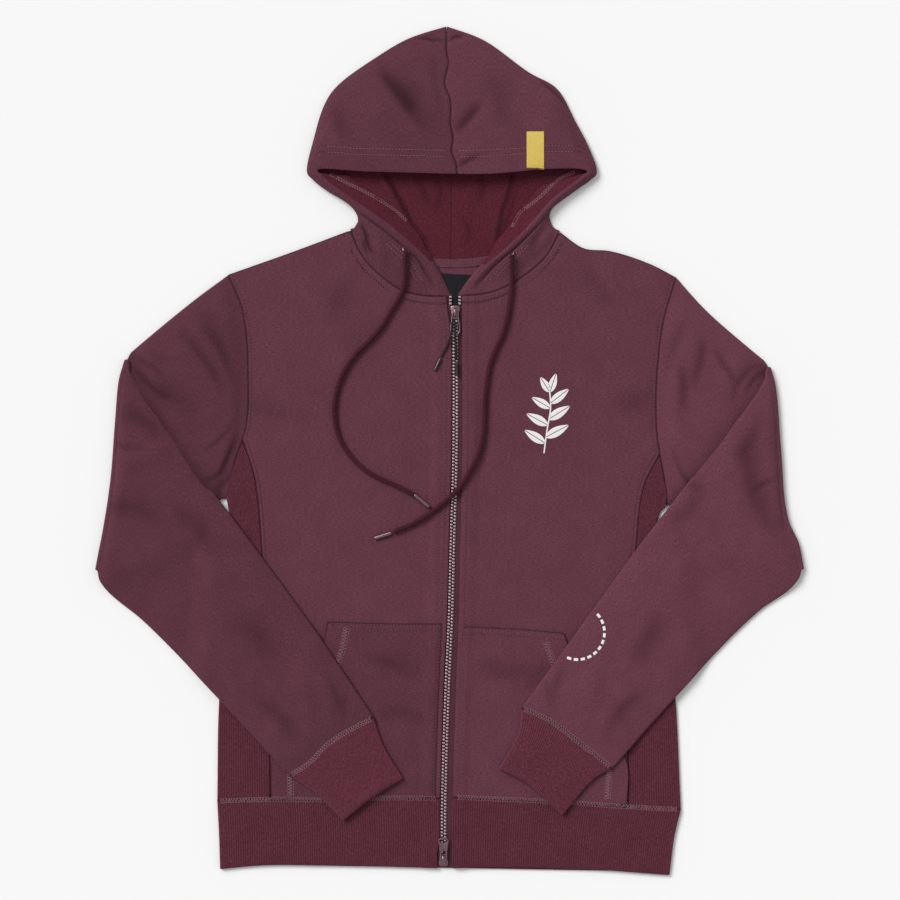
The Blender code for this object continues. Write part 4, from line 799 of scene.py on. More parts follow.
# %% Fronts
FRONT_CREASES = {
    "right": [
        (9, 0.5, 0.2, -232, 20, -214, 0, -190, -25), (13, -0.35, 0.1, -226, 60, -200, 42, -165, 34),
        (16, 0.4, -0.2, -205, 150, -180, 110, -172, 70), (12, -0.3, 0.2, -95, 190, -120, 160, -128, 128),
        (8, 0.35, 0.1, -60, -150, -95, -158, -128, -176), (22, 0.35, 0.0, -150, -60, -110, -80, -70, -84)],
    "left": [
        (8, 0.55, 0.3, 154, 209, 180, 175, 201, 149), (11, -0.35, 0.1, 140, 200, 160, 168, 176, 140),
        (9, 0.5, 0.2, 228, 15, 205, -6, 180, -24), (14, -0.35, 0.0, 222, 70, 196, 52, 165, 48),
        (8, 0.35, 0.1, 60, -140, 95, -160, 120, -180), (20, 0.35, 0.0, 150, -70, 112, -92, 76, -88)]}


def outer_edge(side):
    """The front's outer edge, up the side panel's seam and then the armhole."""
    lines = LINES[side]
    meet = nearest_share(lines["armhole"], lines["front_seam"](0.0))
    return joined(stretch(lines["front_seam"], 1, 0), stretch(lines["armhole"], meet, 0), SEAM_SHARE)


def from_zip(flat, edge, sign, width):
    """A flat surface whose first columns lie at set distances from the zip's edge."""
    def at(s, t):
        place = flat(s, t)
        near = edge(t)[..., 0] + sign * s * width
        keep = fade(s, 0.14, 0.3) * fade(t, 0.84, 0.12)
        return np.stack([blend(place[..., 0], near, keep), place[..., 1]], -1)
    return at


def front_relief(side, x, y):
    """Height of the front's relief away from its seams."""
    roll = 0.16 * swell(x, y, 46, 3 if side == "right" else 8) + 0.12 * swell(x, y, 19, 5)
    return (roll + 1.7 * crease_height(x, y, FRONT_CREASES[side])) * ease((np.abs(x - zip_x(y)) - 8) / 22)


pieces = {}


def sewn(node, name, mesh, finishes, thickness=CLOTH, rim=0.5):
    """Shows a piece of cloth in the stead of its node, gives it its thickness and keeps it."""
    piece = show(name, mesh, finishes, [node])
    pieces[node] = thicken(piece, thickness, rim, inner_finish=len(finishes) - 1)


for side in OUTLINES:
    lines, edge, outer = LINES[side], front_edge(side), outer_edge(side)
    neck = pinned(lines["neck"], edge(1.0), lines["neck"](1.0))
    top = joined(neck, lines["shoulder"], NECK_SHARE)
    share = nearest_share(lines["hem_seam"], outer(0.0))
    hem = pinned(stretch(lines["hem_seam"], 0, share), edge(0.0), outer(0.0))
    flat = from_zip(patch(hem, top, edge, outer), edge, SIGN[side], FRONT_WIDTH)
    columns = close_ends(205, 3.2, steps=(0.8, 1.6, 2.4, 3.2, 4, 4.8, 6, 7.5, 8.7, 9.5, 10.3, 11.5, 13.5))
    s, t = np.meshgrid(columns, close_ends(535, 3.3))
    place = flat(s, t)
    x, y = place[..., 0], place[..., 1]
    across, along = measured(raised(place, 0.0))
    relief = front_relief(side, x, y)
    rows = (4.0, 9.5) if side == "right" else (6.4,)
    from_side, from_hem, from_top = across[:, -1:] - across, along, along[-1:] - along
    from_neck = -SIGN[side] * beyond(lines["neck"], x, y, 160)
    from_neck = np.where(from_top < 60, np.abs(from_neck), 99)
    z = FRONT_Z + placket(x, y) + relief + seam_relief(across, rows, 0.3)
    z += seam_relief(from_side, (4.0,), 0.7) + seam_relief(from_hem, (3.0,), 0.7)
    z += seam_relief(from_neck, (7.4,), 0.7) + 0.4 * fade(from_neck, 6.4, 1.0)
    z -= 0.6 * np.exp(-(from_top / 1.1) ** 2) * ease((from_neck - 3) / 4)
    seam_at = np.minimum.reduce([from_side, from_hem, from_top, from_neck, np.abs(from_neck - 7.4) + 0.35])
    row_at = nearest_row((across, rows), (from_side, (4.0,)), (from_neck, (7.4,)))
    # Painted shade in the front's seams, stitch rows and crease valleys.
    mesh = sheet_mesh("front_cloth_" + side, raised(place, z), place, seam=seam_at, row=row_at,
                      tuck=tucked(relief))
    sewn("front_" + side, "front_cloth_" + side, mesh, [jersey, lining])

# %% [markdown]
# ## The back
# The back is one piece from hem to neck, and the only part of the body that rests on the floor,
# so it stays flat. Its outline is the outer edge of both fronts, a straight hem and the two
# shoulders with the lower curve of the back neck between them.

# %% Back
right, left = LINES["right"], LINES["left"]
hem = straight(OUTLINES["right"]["front_seam"][-1], OUTLINES["left"]["front_seam"][-1])
shoulders = joined(stretch(right["shoulder"], 1, 0),
                   joined(smooth(BACK_NECK), left["shoulder"], 0.6), 0.3)
BACK_CREASES = [
    (9, 0.8, 0.1, -205, 60, -150, 20, -90, 10), (11, 0.9, -0.1, 208, 40, 150, 2, 110, -30),
    (13, 0.7, 0.1, -150, -180, -90, -215, -20, -220), (10, 0.8, 0.0, 60, -120, 110, -170, 165, -190),
    (12, 0.6, 0.2, -60, 190, -20, 150, -6, 100), (8, 0.7, 0.0, -30, -320, 40, -300, 120, -318)]
s, t = np.meshgrid(close_ends(420, 6.2), close_ends(560, 6.2))
place = patch(hem, shoulders, outer_edge("right"), outer_edge("left"))(s, t)
x, y = place[..., 0], place[..., 1]
across, along = measured(raised(place, 0.0))
from_edge = edge_distance(across, along)
z = BACK_Z + 0.25 * np.abs(swell(x, y, 40, 15)) + crease_height(x, y, BACK_CREASES)
z = BACK_Z + (z - BACK_Z) * ease(from_edge / 25) + 0.3 * np.exp(-(from_edge / 1.2) ** 2)
# Painted shade along the back's edges and its stitch row.
mesh = sheet_mesh("back_cloth", raised(place, z), place, seam=from_edge, row=np.abs(from_edge - 3.2))
mesh.flip_normals()
sewn("back", "back_cloth", mesh, [jersey, jersey])

# %% [markdown]
# ## Ribbed side panels
# A strip of rib knit runs down each side from armhole to hem and folds round to the back, so
# the body can stretch. A rib is a column of stitches that stands up beside one that lies back.
# The real pitch is about 2.5 mm, and here each rib is geometry: four columns of points on a
# soft wave.

# %% Ribs and the fold at a side
RIB_PITCH, RIB_COLUMNS, PANEL_WIDTH = 2.5, 89, 55


def rib_wave(distance, height):
    """Ribs as a rounded wave: wide backs and narrow ditches."""
    wave = np.cos(distance * 2 * pi / RIB_PITCH)
    return height * (np.sign(wave) * np.abs(wave) ** 0.7 * 0.5 - 0.1)


def rib_ditch_painted_shade(distance):
    """Painted shade: how much darker the ditch between two ribs is drawn."""
    return 0.16 * (1 - np.cos(distance * 2 * pi / RIB_PITCH))


UP = np.array([0, 0, 1.0])


def fold_round(upper, lower, leaf, out, turns=6):
    """Rows that cross an upper leaf, turn round its outer edge and come back along a lower leaf."""
    angles = (pi * (np.arange(turns) + 1) / (turns + 1))[None, :, None]
    turn = upper[:, -1:] - UP * leaf + leaf * (UP * np.cos(angles) + raised(out, 0.0)[:, None] * np.sin(angles))
    return np.concatenate([upper, turn, lower], axis=1)


for side in OUTLINES:
    lines, sign = LINES[side], SIGN[side]
    inset = LEAF + CLOTH / 2
    meet = nearest_share(lines["armhole"], lines["front_seam"](0.0))
    top = shifted(stretch(lines["armhole"], meet, 1), -sign * SIDE_SEAM)
    corner = shifted(lines["side"], -sign * inset)(0.008)
    top = pinned(stretch(top, 0.0, 0.985), top(0.0), corner, 0.2)
    hem_from = nearest_share(lines["hem_seam"], lines["front_seam"](1.0))
    hem = stretch(lines["hem_seam"], hem_from + 0.002, 1 - inset / 235)
    seam = pinned(shifted(stretch(lines["front_seam"], 1, 0), -sign * SIDE_SEAM), hem(0.0), top(0.0), 0.03)
    edge = pinned(shifted(stretch(lines["side"], 1, 0), sign * inset), hem(1.0), top(1.0), 0.03)
    flat = patch(hem, top, seam, edge)
    rows_t = close_ends(340, 8.5, steps=(0.8, 1.7, 3.0, 5.0))
    s, t = np.meshgrid(np.linspace(0, 1, RIB_COLUMNS), rows_t)
    place = flat(s, t)
    across, along = measured(raised(place, 0.0))
    ribs = rib_wave(s * PANEL_WIDTH, RIB_HEIGHT) * ease(along / 3) * ease((along[-1:] - along) / 3)
    z = FRONT_Z + ribs + 0.2 * swell(place[..., 0], place[..., 1], 30, 12)
    z += seam_relief(across, (), 0.5)
    below = raised(flat(*np.meshgrid(np.linspace(1, 0, 12), rows_t)), BACK_Z)
    places = fold_round(raised(place, z), below, LEAF, -sign * left_of(edge, rows_t))
    across, along = measured(places)
    # Painted shade in the ditches between the ribs.
    groove_bump_and_painted_shade = np.zeros(across.shape)
    groove_bump_and_painted_shade[:, :RIB_COLUMNS] = rib_ditch_painted_shade(s * PANEL_WIDTH)
    mesh = sheet_mesh("side_rib_" + side, places, np.stack([across, places[..., 1]], -1),
                      up_columns=slice(0, 80), seam=edge_distance(across, along), tuck=groove_bump_and_painted_shade)
    sewn("side_panel_" + side, "side_rib_" + side, mesh, [ribbing],
         rim=0.4)

# %% [markdown]
# ## The waistband
# The hem is one strip of rib folded double, sewn on with a flat cover stitch and pulled a
# little shorter than the body. It goes from the zip round the right side, across the back and
# round the left side to the zip again, and its ribs stand at right angles to the hem.

# %% Waistband
def hem_leaf(side):
    """Flat outline of one front half of the waistband: s from the zip to the side."""
    lines, sign = LINES[side], SIGN[side]
    fold = shifted(stretch(lines["hem_side"], 1, 0), sign * (RIB_LEAF + RIB_CLOTH / 2))
    low, high = OUTLINES[side]["hem_end"][0][1], OUTLINES[side]["hem_seam"][0][1]
    edge = front_edge(side, low, high - SIDE_SEAM)
    seam = shifted(lines["hem_seam"], -sign * SIDE_SEAM)
    seam = pinned(seam, edge(1.0), fold(1.0) - np.array([0, SIDE_SEAM]), 0.03)
    end = pinned(lines["hem_end"], edge(0.0), fold(0.0), 0.03)
    return patch(end, seam, edge, pinned(fold, end(1.0), seam(1.0)))


RIBS_EACH_HALF, HEM_HEIGHT = 96, 74
rib_share = np.linspace(0, 1, 4 * RIBS_EACH_HALF + 1)
rows_t = close_ends(HEM_HEIGHT, 9, steps=(0.8, 1.7, 3.0, 5.0))
half_rows = {}
for side in OUTLINES:
    sign, flat = SIGN[side], hem_leaf(side)
    s, t = np.meshgrid(rib_share, rows_t)
    place = flat(s, t)
    x, y = place[..., 0], place[..., 1]
    from_end, from_seam = t * HEM_HEIGHT, (1 - t) * HEM_HEIGHT
    z = RIB_CLOTH / 2 + 2 * RIB_LEAF + placket(x, y) / 1.4 + 0.15 * swell(x, y, 24, 21)
    z += rib_wave(s * RIB_PITCH * RIBS_EACH_HALF, RIB_HEIGHT) * ease(from_end / 5) * ease(from_seam / 3)
    z += seam_relief(from_seam, (), 0.5) - 0.4 * np.exp(-(from_end / 1.6) ** 2)
    below = raised(flat(*np.meshgrid([1, 0.88, 0.76], rows_t)), RIB_CLOTH / 2)
    out = np.tile([sign, 0.0], (len(rows_t), 1))
    half_rows[side] = fold_round(raised(place, z), below, RIB_LEAF, out)
share = np.linspace(0, 1, 40)[1:-1][None, :, None]
middle = half_rows["right"][:, -1:] * (1 - share) + half_rows["left"][:, -1:] * share
places = np.concatenate([half_rows["right"], middle, half_rows["left"][:, ::-1]], axis=1)
across, along = measured(places)
# Painted shade in the ditches between the ribs.
groove_bump_and_painted_shade = np.zeros(across.shape)
painted_ditch_shade = rib_ditch_painted_shade(rib_share * RIBS_EACH_HALF * RIB_PITCH)
groove_bump_and_painted_shade[:, :len(painted_ditch_shade)], groove_bump_and_painted_shade[:, -len(painted_ditch_shade):] = painted_ditch_shade, painted_ditch_shade[::-1]
mesh = sheet_mesh("waistband_rib", places, np.stack([across, along], -1), up_columns=slice(0, 300),
                  seam=along[-1:] - along, tuck=groove_bump_and_painted_shade)
sewn("hem_band", "waistband_rib", mesh, [ribbing], RIB_CLOTH, 0.6)

# %% [markdown]
# ## The pockets
# A zip hoodie's pouch is cut in two, one half each side of the zip. The top and the zip's edge
# are topstitched down, and the slanted mouth is left open with a turned hem that a cover stitch
# holds. The cloth stands a little over the front, with a soft step at its edges.

# %% Pockets
POCKET_CREASES = {
    "right": [
        (13, 0.45, 0.2, -40, -330, -70, -300, -105, -290), (10, -0.45, 0.0, -30, -240, -62, -226, -100, -222),
        (9, 0.4, 0.1, -24, -262, -60, -252, -92, -262), (8, -0.4, 0.1, -20, -290, -52, -276, -84, -286),
        (9, 0.4, 0.0, -110, -200, -96, -222, -70, -236)],
    "left": [
        (14, 0.45, -0.2, 40, -340, 66, -300, 72, -262), (10, -0.45, 0.0, 30, -225, 62, -236, 98, -230),
        (9, 0.4, 0.0, 28, -258, 58, -268, 92, -262), (8, -0.35, 0.1, 110, -214, 92, -244, 70, -262)]}
pocket_lines = {}
for side in OUTLINES:
    lines, sign = LINES[side], SIGN[side]
    mouth = stretch(lines["pocket_mouth"], 1, 0)
    low, high = OUTLINES[side]["hem_seam"][0][1], OUTLINES[side]["pocket_top"][0][1]
    edge = shifted(front_edge(side, low, high), -sign * POCKET_SET_IN)
    share = nearest_share(lines["hem_seam"], mouth(0.0))
    hem = pinned(stretch(lines["hem_seam"], 0, share), edge(0.0), mouth(0.0))
    top = pinned(lines["pocket_top"], edge(1.0), mouth(1.0))
    pocket_lines[side] = (edge, mouth, top)
    flat = from_zip(patch(hem, top, edge, mouth), edge, sign, FRONT_WIDTH - POCKET_SET_IN)
    s, t = np.meshgrid(close_ends(150, 2.8), close_ends(187, 2.8))
    place = flat(s, t)
    x, y = place[..., 0], place[..., 1]
    across, along = measured(raised(place, 0.0))
    z = FRONT_Z + placket(x, y) + POCKET_RISE + 0.14 * swell(x, y, 34, 31)
    relief = 1.8 * crease_height(x, y, POCKET_CREASES[side]) * ease((np.abs(x - zip_x(y)) - 10) / 20)
    from_mouth, from_top = across[:, -1:] - across, along[-1:] - along
    z += relief + 0.35 * fade(from_mouth, 21, 2.5) + seam_relief(across, (2.4,), 0.5)
    z += seam_relief(from_top, (1.8, 7.8), 0.6) + seam_relief(along, (3.0,), 0.7)
    z -= 1.1 * np.exp(-(across / 2.4) ** 2)
    row_at = nearest_row((across, (2.4,)), (from_top, (1.8, 7.8)))
    # The mouth's edge counts as a seam: a groove and a painted shadow line run along it, and the crease valleys
    # get painted shade.
    seam_at = np.minimum.reduce([along, across + 0.9, from_top, from_mouth + 0.2])
    mesh = sheet_mesh("pocket_cloth_" + side, raised(place, z), place, seam=seam_at, row=row_at,
                      tuck=tucked(relief))
    sewn("pocket_" + side, "pocket_cloth_" + side, mesh, [hood_painted_shade_jersey[side], lining])

# %% [markdown]
# ## The sleeves
# A sleeve is a tube. Laid out, it's a flat tube with two leaves, and here it also folds back
# over itself at the elbow, so the forearm lies across the body. The grid's columns go once
# round the tube: leaf, turn, leaf, turn. Its rows go from the armhole to the elbow, half a turn
# round the fold, and on to the cuff. The leaf on top gets a rounded edge, a swell of air and
# the creases; the one below stays down.

# %% Sleeve surfaces
ARMHOLE_LENGTH, UPPER_LENGTH, FORE_LENGTH = 235.0, 130, 320
SLEEVE_CREASES = {
    "right": [
        (9, 1.1, 0.0, -326, 108, -310, 84, -290, 72), (15, 1.1, 0.2, -286, 138, -250, 98, -222, 59),
        (10, -1.0, 0.0, -262, 150, -238, 104, -226, 60), (11, -1.0, 0.1, -318, 92, -296, 60, -262, 40),
        (12, 1.0, 0.0, -300, -10, -262, -40, -232, -62), (12, 1.2, 0.2, -352, -20, -320, -8, -292, -6),
        (10, -1.1, 0.1, -350, 40, -322, 30, -300, 10), (11, -1.0, 0.1, -366, -60, -330, -62, -300, -78),
        (16, 1.2, 0.1, -330, -128, -290, -120, -250, -150), (9, -0.9, 0.0, -290, -60, -262, -84, -246, -118),
        (13, -1.0, 0.2, -230, -180, -205, -195, -190, -225), (9, 1.0, 0.0, -170, -235, -150, -262, -146, -290),
        (8, -1.0, 0.2, -205, -265, -180, -280, -160, -310), (6, -0.9, 0.2, -130, -232, -118, -262, -120, -284)],
    "left": [
        (9, 1.1, 0.0, 322, 104, 306, 92, 288, 66), (12, -1.3, 0.2, 308, 22, 324, -52, 345, -95),
        (12, 1.1, 0.0, 288, 10, 296, -40, 318, -92), (13, 1.1, -0.2, 272, 130, 252, 98, 236, 60),
        (9, -1.0, 0.0, 250, 140, 236, 100, 228, 60), (8, -0.9, 0.1, 330, 40, 316, 6, 296, -16),
        (9, -0.9, 0.0, 268, -30, 256, -60, 232, -82), (15, 1.2, 0.1, 300, -110, 262, -118, 240, -140),
        (12, -1.0, 0.2, 230, -170, 210, -200, 196, -228), (10, 1.0, 0.0, 160, -222, 150, -250, 142, -282),
        (8, -1.0, 0.2, 210, -255, 184, -272, 166, -300), (6, -0.9, 0.2, 122, -228, 112, -252, 108, -276)]}
SLEEVE_LINES = {
    "right": [
        (3.0, -1.9, 0.25, -338, 96, -332, 85, -325, 77, -312, 64, -294, 52),
        (3.0, -1.3, 0.2, -336, 102, -322, 92, -308, 84, -300, 72),
        (3.4, -0.8, 0.2, -318, 104, -304, 96, -286, 94),
        (3.0, -2.0, 0.3, -226, 12, -233, -2, -245, -26, -261, -32),
        (3.4, -1.2, 0.2, -226, 34, -242, 12, -262, -2), (2.8, -1.5, 0.2, -230, -20, -238, -34, -246, -40),
        (3.4, -1.2, 0.2, -356, 10, -340, 2, -322, 2), (5.0, -1.6, 0.2, -263, 136, -242, 106, -226, 68),
        (5.6, -1.7, 0.2, -286, 129, -257, 93, -236, 57), (3.2, -1.0, 0.2, -106, -250, -112, -268, -110, -286)],
    "left": [
        (3.0, -2.1, 0.25, 341.6, 88, 328.7, 81.5, 316.8, 69.6, 312, 58),
        (3.0, -1.7, 0.25, 334.3, 92, 321.3, 88, 306.6, 73.4, 298, 53),
        (4.4, -1.5, 0.1, 280, 107, 292, 88, 302.6, 69.4), (5.0, -1.5, 0.1, 268, 118, 266, 94, 258, 68),
        (5.4, -1.6, 0.1, 243, 92, 248, 66, 246, 38), (3.0, -1.4, 0.3, 234, 2, 252, -34, 270, -45),
        (3.4, -1.2, 0.2, 350, -30, 334, -34, 318, -46), (3.2, -1.0, 0.2, 96, -238, 104, -256, 104, -270)]}


def arm_surfaces(side):
    """Flat middles of the upper arm and the forearm, from the over to the under edge."""
    lines, sign = LINES[side], SIGN[side]
    inset = LEAF + CLOTH / 2
    trim = inset / ARMHOLE_LENGTH
    armhole = stretch(shifted(lines["armhole"], sign * SIDE_SEAM), trim, 1 - trim)
    end = armhole(1.0) - np.array([sign * 1.9, {"right": 6.0, "left": 1.0}[side]])
    armhole = pinned(armhole, armhole(0.0), end, 0.14)
    axis = stretch(shifted(lines["elbow"], -sign * (ELBOW_RADIUS + inset)), 0.012, 0.985)
    over = pinned(shifted(lines["overarm"], -sign * inset), armhole(0.0), axis(0.0))
    under = pinned(shifted(lines["underarm"], sign * inset), armhole(1.0), axis(1.0))
    upper = patch(armhole, axis, over, under)
    seam = stretch(lines["cuff_seam"], inset / 110, 1 - inset / 110)
    fore_over = pinned(shifted(lines["forearm_over"], sign * inset), axis(0.0), seam(0.0), 0.04)
    fore_under = pinned(shifted(lines["forearm_under"], -sign * inset), axis(1.0), seam(1.0), 0.04)
    return upper, patch(axis, seam, fore_over, fore_under), axis, (over, under), (fore_over, fore_under)


def flat_out(line, share, sign):
    """Direction away from an edge, as an array of XYZ."""
    return raised(left_of(line, np.asarray(share, float)) * sign, 0.0)


def tube_row(centres, up, outs, leaf, turns=5):
    """Middle of the cloth once round a flat tube, back to its first place."""
    angles = (pi * (np.arange(turns) + 1) / (turns + 1))[:, None]
    upper, lower = centres + up * leaf, (centres - up * leaf)[::-1]
    at_end = centres[-1] + leaf * (up * np.cos(angles) + outs[1] * np.sin(angles))
    at_start = centres[0] + leaf * (-up * np.cos(angles) + outs[0] * np.sin(angles))
    return np.concatenate([upper, at_end, lower, at_start, upper[:1]])


# %% Sleeves
for side in OUTLINES:
    sign = SIGN[side]
    upper, fore, axis, (over, under), (fore_over, fore_under) = arm_surfaces(side)
    across_s = close_ends(220, 3.0)
    rows, kinds = [], []
    for t in close_ends(UPPER_LENGTH, 2.9, at_end=False):
        centres = raised(upper(across_s, np.full(across_s.shape, t)), FOLD_Z)
        rows.append(tube_row(centres, UP, (flat_out(over, t, sign), flat_out(under, t, -sign)), LEAF))
        kinds.append(("upper", t))
    axis3 = raised(axis(across_s), FOLD_Z + ELBOW_RADIUS)
    elbow_out = flat_out(LINES[side]["elbow"], across_s, sign)
    for step in range(1, 9):
        done = step / 9
        pulled_in = 0.8 + 0.2 * ease(np.minimum(across_s, 1 - across_s) / 0.1)
        rays = UP * cos(pi * done) - elbow_out * sin(pi * done) * pulled_in[:, None]
        over_out = flat_out(over, 1.0, sign) * (1 - done) + flat_out(fore_over, 0.0, -sign) * done
        under_out = flat_out(under, 1.0, -sign) * (1 - done) + flat_out(fore_under, 0.0, sign) * done
        outs = [out / np.linalg.norm(out) for out in (over_out, under_out)]
        rows.append(tube_row(axis3 - rays * ELBOW_RADIUS, rays[len(rays) // 2], outs, LEAF))
        kinds.append(("elbow", done))
    for t in close_ends(FORE_LENGTH, 3.5, at_start=False):
        flat = fore(across_s, np.full(across_s.shape, t))
        lying = lying_height(side, flat[:, 0], flat[:, 1]) + CLOTH / 2 + LEAF
        outs = (flat_out(fore_over, t, -sign), flat_out(fore_under, t, sign))
        rows.append(tube_row(raised(flat, lying), -UP, outs, LEAF))
        kinds.append(("fore", t))
    places = np.stack(rows)
    x, y = places[..., 0], places[..., 1]
    done = np.array([share for _, share in kinds])
    is_upper, is_fore = (np.array([kind == wanted for kind, _ in kinds]) for wanted in ("upper", "fore"))
    count = len(across_s)
    half = (places[:, :count, 2] + places[:, count + 5:2 * count + 5, 2][:, ::-1]) / 2
    centre_z = np.concatenate([half, np.repeat(half[:, -1:], 5, 1), half[:, ::-1],
                               np.repeat(half[:, :1], 6, 1)], axis=1)
    at_seams = np.select(
        [is_fore, is_upper],
        [ease(done * FORE_LENGTH / 22) * ease((1 - done) * FORE_LENGTH / 26 + 0.12),
         ease(done * UPPER_LENGTH / 20) * ease((1 - done) * UPPER_LENGTH / 22)])[:, None]
    from_rim = np.minimum(*[np.linalg.norm(places[..., :2] - places[:, column, None, :2], axis=-1)
                            for column in (2 * count + 7, count + 2)])
    top_side = ease((places[..., 2] - centre_z + 0.2) / 0.8) * (is_upper | is_fore)[:, None]
    lift = 1.9 * (1 - np.exp(-from_rim / 5.0)) + 2.6 * (1 - np.exp(-(from_rim / 24.0) ** 2))
    roll = 0.35 * swell(x, y, 38, 41) + 0.2 * swell(x, y, 17, 42)
    bend = 1.5 * crease_height(x, y, SLEEVE_CREASES[side])
    sharp = crease_height(x, y, SLEEVE_LINES[side])
    relief = (roll + bend) * ease(from_rim / 10) + sharp * ease(from_rim / 4)
    places[..., 2] += top_side * (lift * at_seams + relief * np.clip(at_seams, 0.25, 1))
    across, along = measured(places)
    along = along.mean(1, keepdims=True) + 0 * along
    from_armhole = np.where(is_upper, along[:, 0], 99.0)[:, None] + 0 * across
    from_cuff = np.where(is_fore, along[-1, 0] - along[:, 0], 99.0)[:, None] + 0 * across
    places[..., 2] += top_side * (seam_relief(from_armhole, (), 0.7) + seam_relief(from_cuff, (3.0,), 0.7))
    # Painted shade in the sleeve's fold valleys, and a painted shadow on the upper arm beside the folded
    # forearm's edge.
    tuck = (tucked(bend, 5.4) + tucked(sharp, 4.4) * ease(from_rim / 3)) * top_side
    past_forearm = -sign * beyond(LINES[side]["forearm_over"], x, y)
    painted_overlap_shadow = 0.42 * np.exp(-np.maximum(past_forearm, 0) / 6.5) * (past_forearm > -12)
    tuck += painted_overlap_shadow * top_side * is_upper[:, None]
    mesh = sheet_mesh("sleeve_cloth_" + side, places, np.stack([across, along], -1), closed=True,
                      seam=np.minimum(from_armhole, from_cuff), tuck=tuck)
    sewn("sleeve_" + side, "sleeve_cloth_" + side, mesh, [sleeve_painted_light_jersey[side], lining])

# %% [markdown]
# ## The cuffs
# A cuff is a shorter, tighter rib tube, folded double. It keeps the sleeve's place on the body
# and pulls it in, so the sleeve puffs a little above the seam.

# %% Cuffs
RIBS_EACH_LEAF, CUFF_LENGTH = 40, 72
for side in OUTLINES:
    lines, sign = LINES[side], SIGN[side]
    inset = RIB_LEAF + RIB_CLOTH / 2
    seam = stretch(shifted(lines["cuff_seam"], -sign * SIDE_SEAM), inset / 110, 1 - inset / 110)
    end = stretch(lines["cuff_end"], inset / 80, 1 - inset / 80)
    over = pinned(shifted(lines["cuff_over"], sign * inset), seam(0.0), end(0.0))
    under = pinned(shifted(lines["cuff_under"], -sign * inset), seam(1.0), end(1.0))
    flat = patch(seam, end, over, under)
    across_s = np.linspace(0, 1, 4 * RIBS_EACH_LEAF + 1)
    count = len(across_s)
    ribs = rib_wave(across_s * RIB_PITCH * RIBS_EACH_LEAF, RIB_HEIGHT)
    inside = np.minimum(across_s, 1 - across_s) * 95
    rounding = 1.0 * (1 - np.exp(-inside / 4)) + 0.8 * (1 - np.exp(-(inside / 20) ** 2))
    rows = []
    for t in close_ends(CUFF_LENGTH, 7, steps=(0.8, 1.7, 3.0, 5.0)):
        spots = flat(across_s, np.full(across_s.shape, t))
        centres = raised(spots, lying_height(side, spots[:, 0], spots[:, 1]) + CLOTH / 2 + RIB_LEAF)
        row = tube_row(centres, UP, (flat_out(over, t, -sign), flat_out(under, t, sign)), RIB_LEAF)
        near_ends = ease(t * CUFF_LENGTH / 3) * ease((1 - t) * CUFF_LENGTH / 2.5)
        row[:count, 2] += ribs * near_ends + rounding * (0.35 + 0.65 * near_ends)
        row[:count, 2] += 0.15 * swell(row[:count, 0], row[:count, 1], 18, 51)
        row[:count, 2] += seam_relief(np.full(count, float(t * CUFF_LENGTH)), (), 0.5)
        row[-1] = row[0]
        rows.append(row)
    places = np.stack(rows)
    across, along = measured(places)
    # Painted shade in the ditches between the ribs.
    groove_bump_and_painted_shade = np.zeros(across.shape)
    groove_bump_and_painted_shade[:, :count] = rib_ditch_painted_shade(across_s * RIBS_EACH_LEAF * RIB_PITCH)
    mesh = sheet_mesh("cuff_rib_" + side, places, np.stack([across, along], -1), closed=True,
                      seam=along, tuck=groove_bump_and_painted_shade)
    sewn("cuff_" + side, "cuff_rib_" + side, mesh, [cuff_ribbing],
         thickness=RIB_CLOTH, rim=0.6)

# %% [markdown]
# ## The hood
# Two panels meet in a seam over the crown. Laid down, the hood folds flat: an upper leaf from
# the opening edge out to a fold, and a lower leaf back to the centre. The opening edge stands
# up like a lip, because the turned hem and the cord in it are stiff. The grid's columns run
# from the turned hem inside, over the lip, across the upper leaf, round the fold and along the
# lower leaf.

# %% Hood tables
HOOD_ROWS = {
    "right": [
        (8, 292, 17, -3, 448, 1.8), (-30, 293, 17, -45, 435, 1.8), (-62, 294, 16, -83, 413, 1.8),
        (-92, 295, 15, -117, 388, 2.2), (-116, 297, 13, -133, 365, 2.8), (-133, 298, 11, -144, 329, 3.8),
        (-140, 296, 10, -151, 297, 5.0), (-134, 288, 10, -144, 286, 5.0), (-123, 279, 10, -130, 275, 4.4),
        (-108, 268, 10, -113, 265, 3.6), (-92, 257, 10, -103, 257, 3.0), (-74, 245, 10, -98, 249, 2.5),
        (-56, 231, 10, -97, 243, 2.2), (-40, 217, 9, -99, 239, 2.0), (-24, 202, 8, -101, 236, 1.8),
        (-12, 182, 6.5, -103, 234.5, 1.8), (-3.5, 163, 4.4, -105, 233, 1.8)],
    "left": [
        (8, 292, 17, -3, 451, 1.8), (38, 292, 17, 37, 435, 1.8), (66, 294, 16, 82, 402, 1.8),
        (94, 297, 15, 114, 383, 2.2), (118, 298, 13, 133, 349, 2.8), (136, 298, 11, 147, 322, 3.8),
        (146, 295, 10, 156, 296, 5.0), (138, 287, 10, 149, 286, 5.0), (124.5, 277, 10, 135, 276, 4.4),
        (110, 266, 10, 117, 263, 3.6), (99, 254, 10, 109, 256, 3.0), (85, 238, 10, 106, 249, 2.5),
        (71, 224, 10, 107, 243, 2.2), (57, 211, 9, 109, 238, 2.0), (41, 198, 8, 112, 235, 1.8),
        (26, 182, 6.5, 114.5, 233, 1.8), (13.5, 164, 4.4, 117, 231, 1.8)]}
CROWN_SEAM = [(8, 292), (7, 302), (2, 317), (3.8, 326), (1, 345), (1.2, 368), (-5, 388), (-1, 409),
              (-3, 422), (-3, 449.25)]
BACK_SEAM = [(-3, 443), (0, 330), (2, 262), (1, 199.5)]
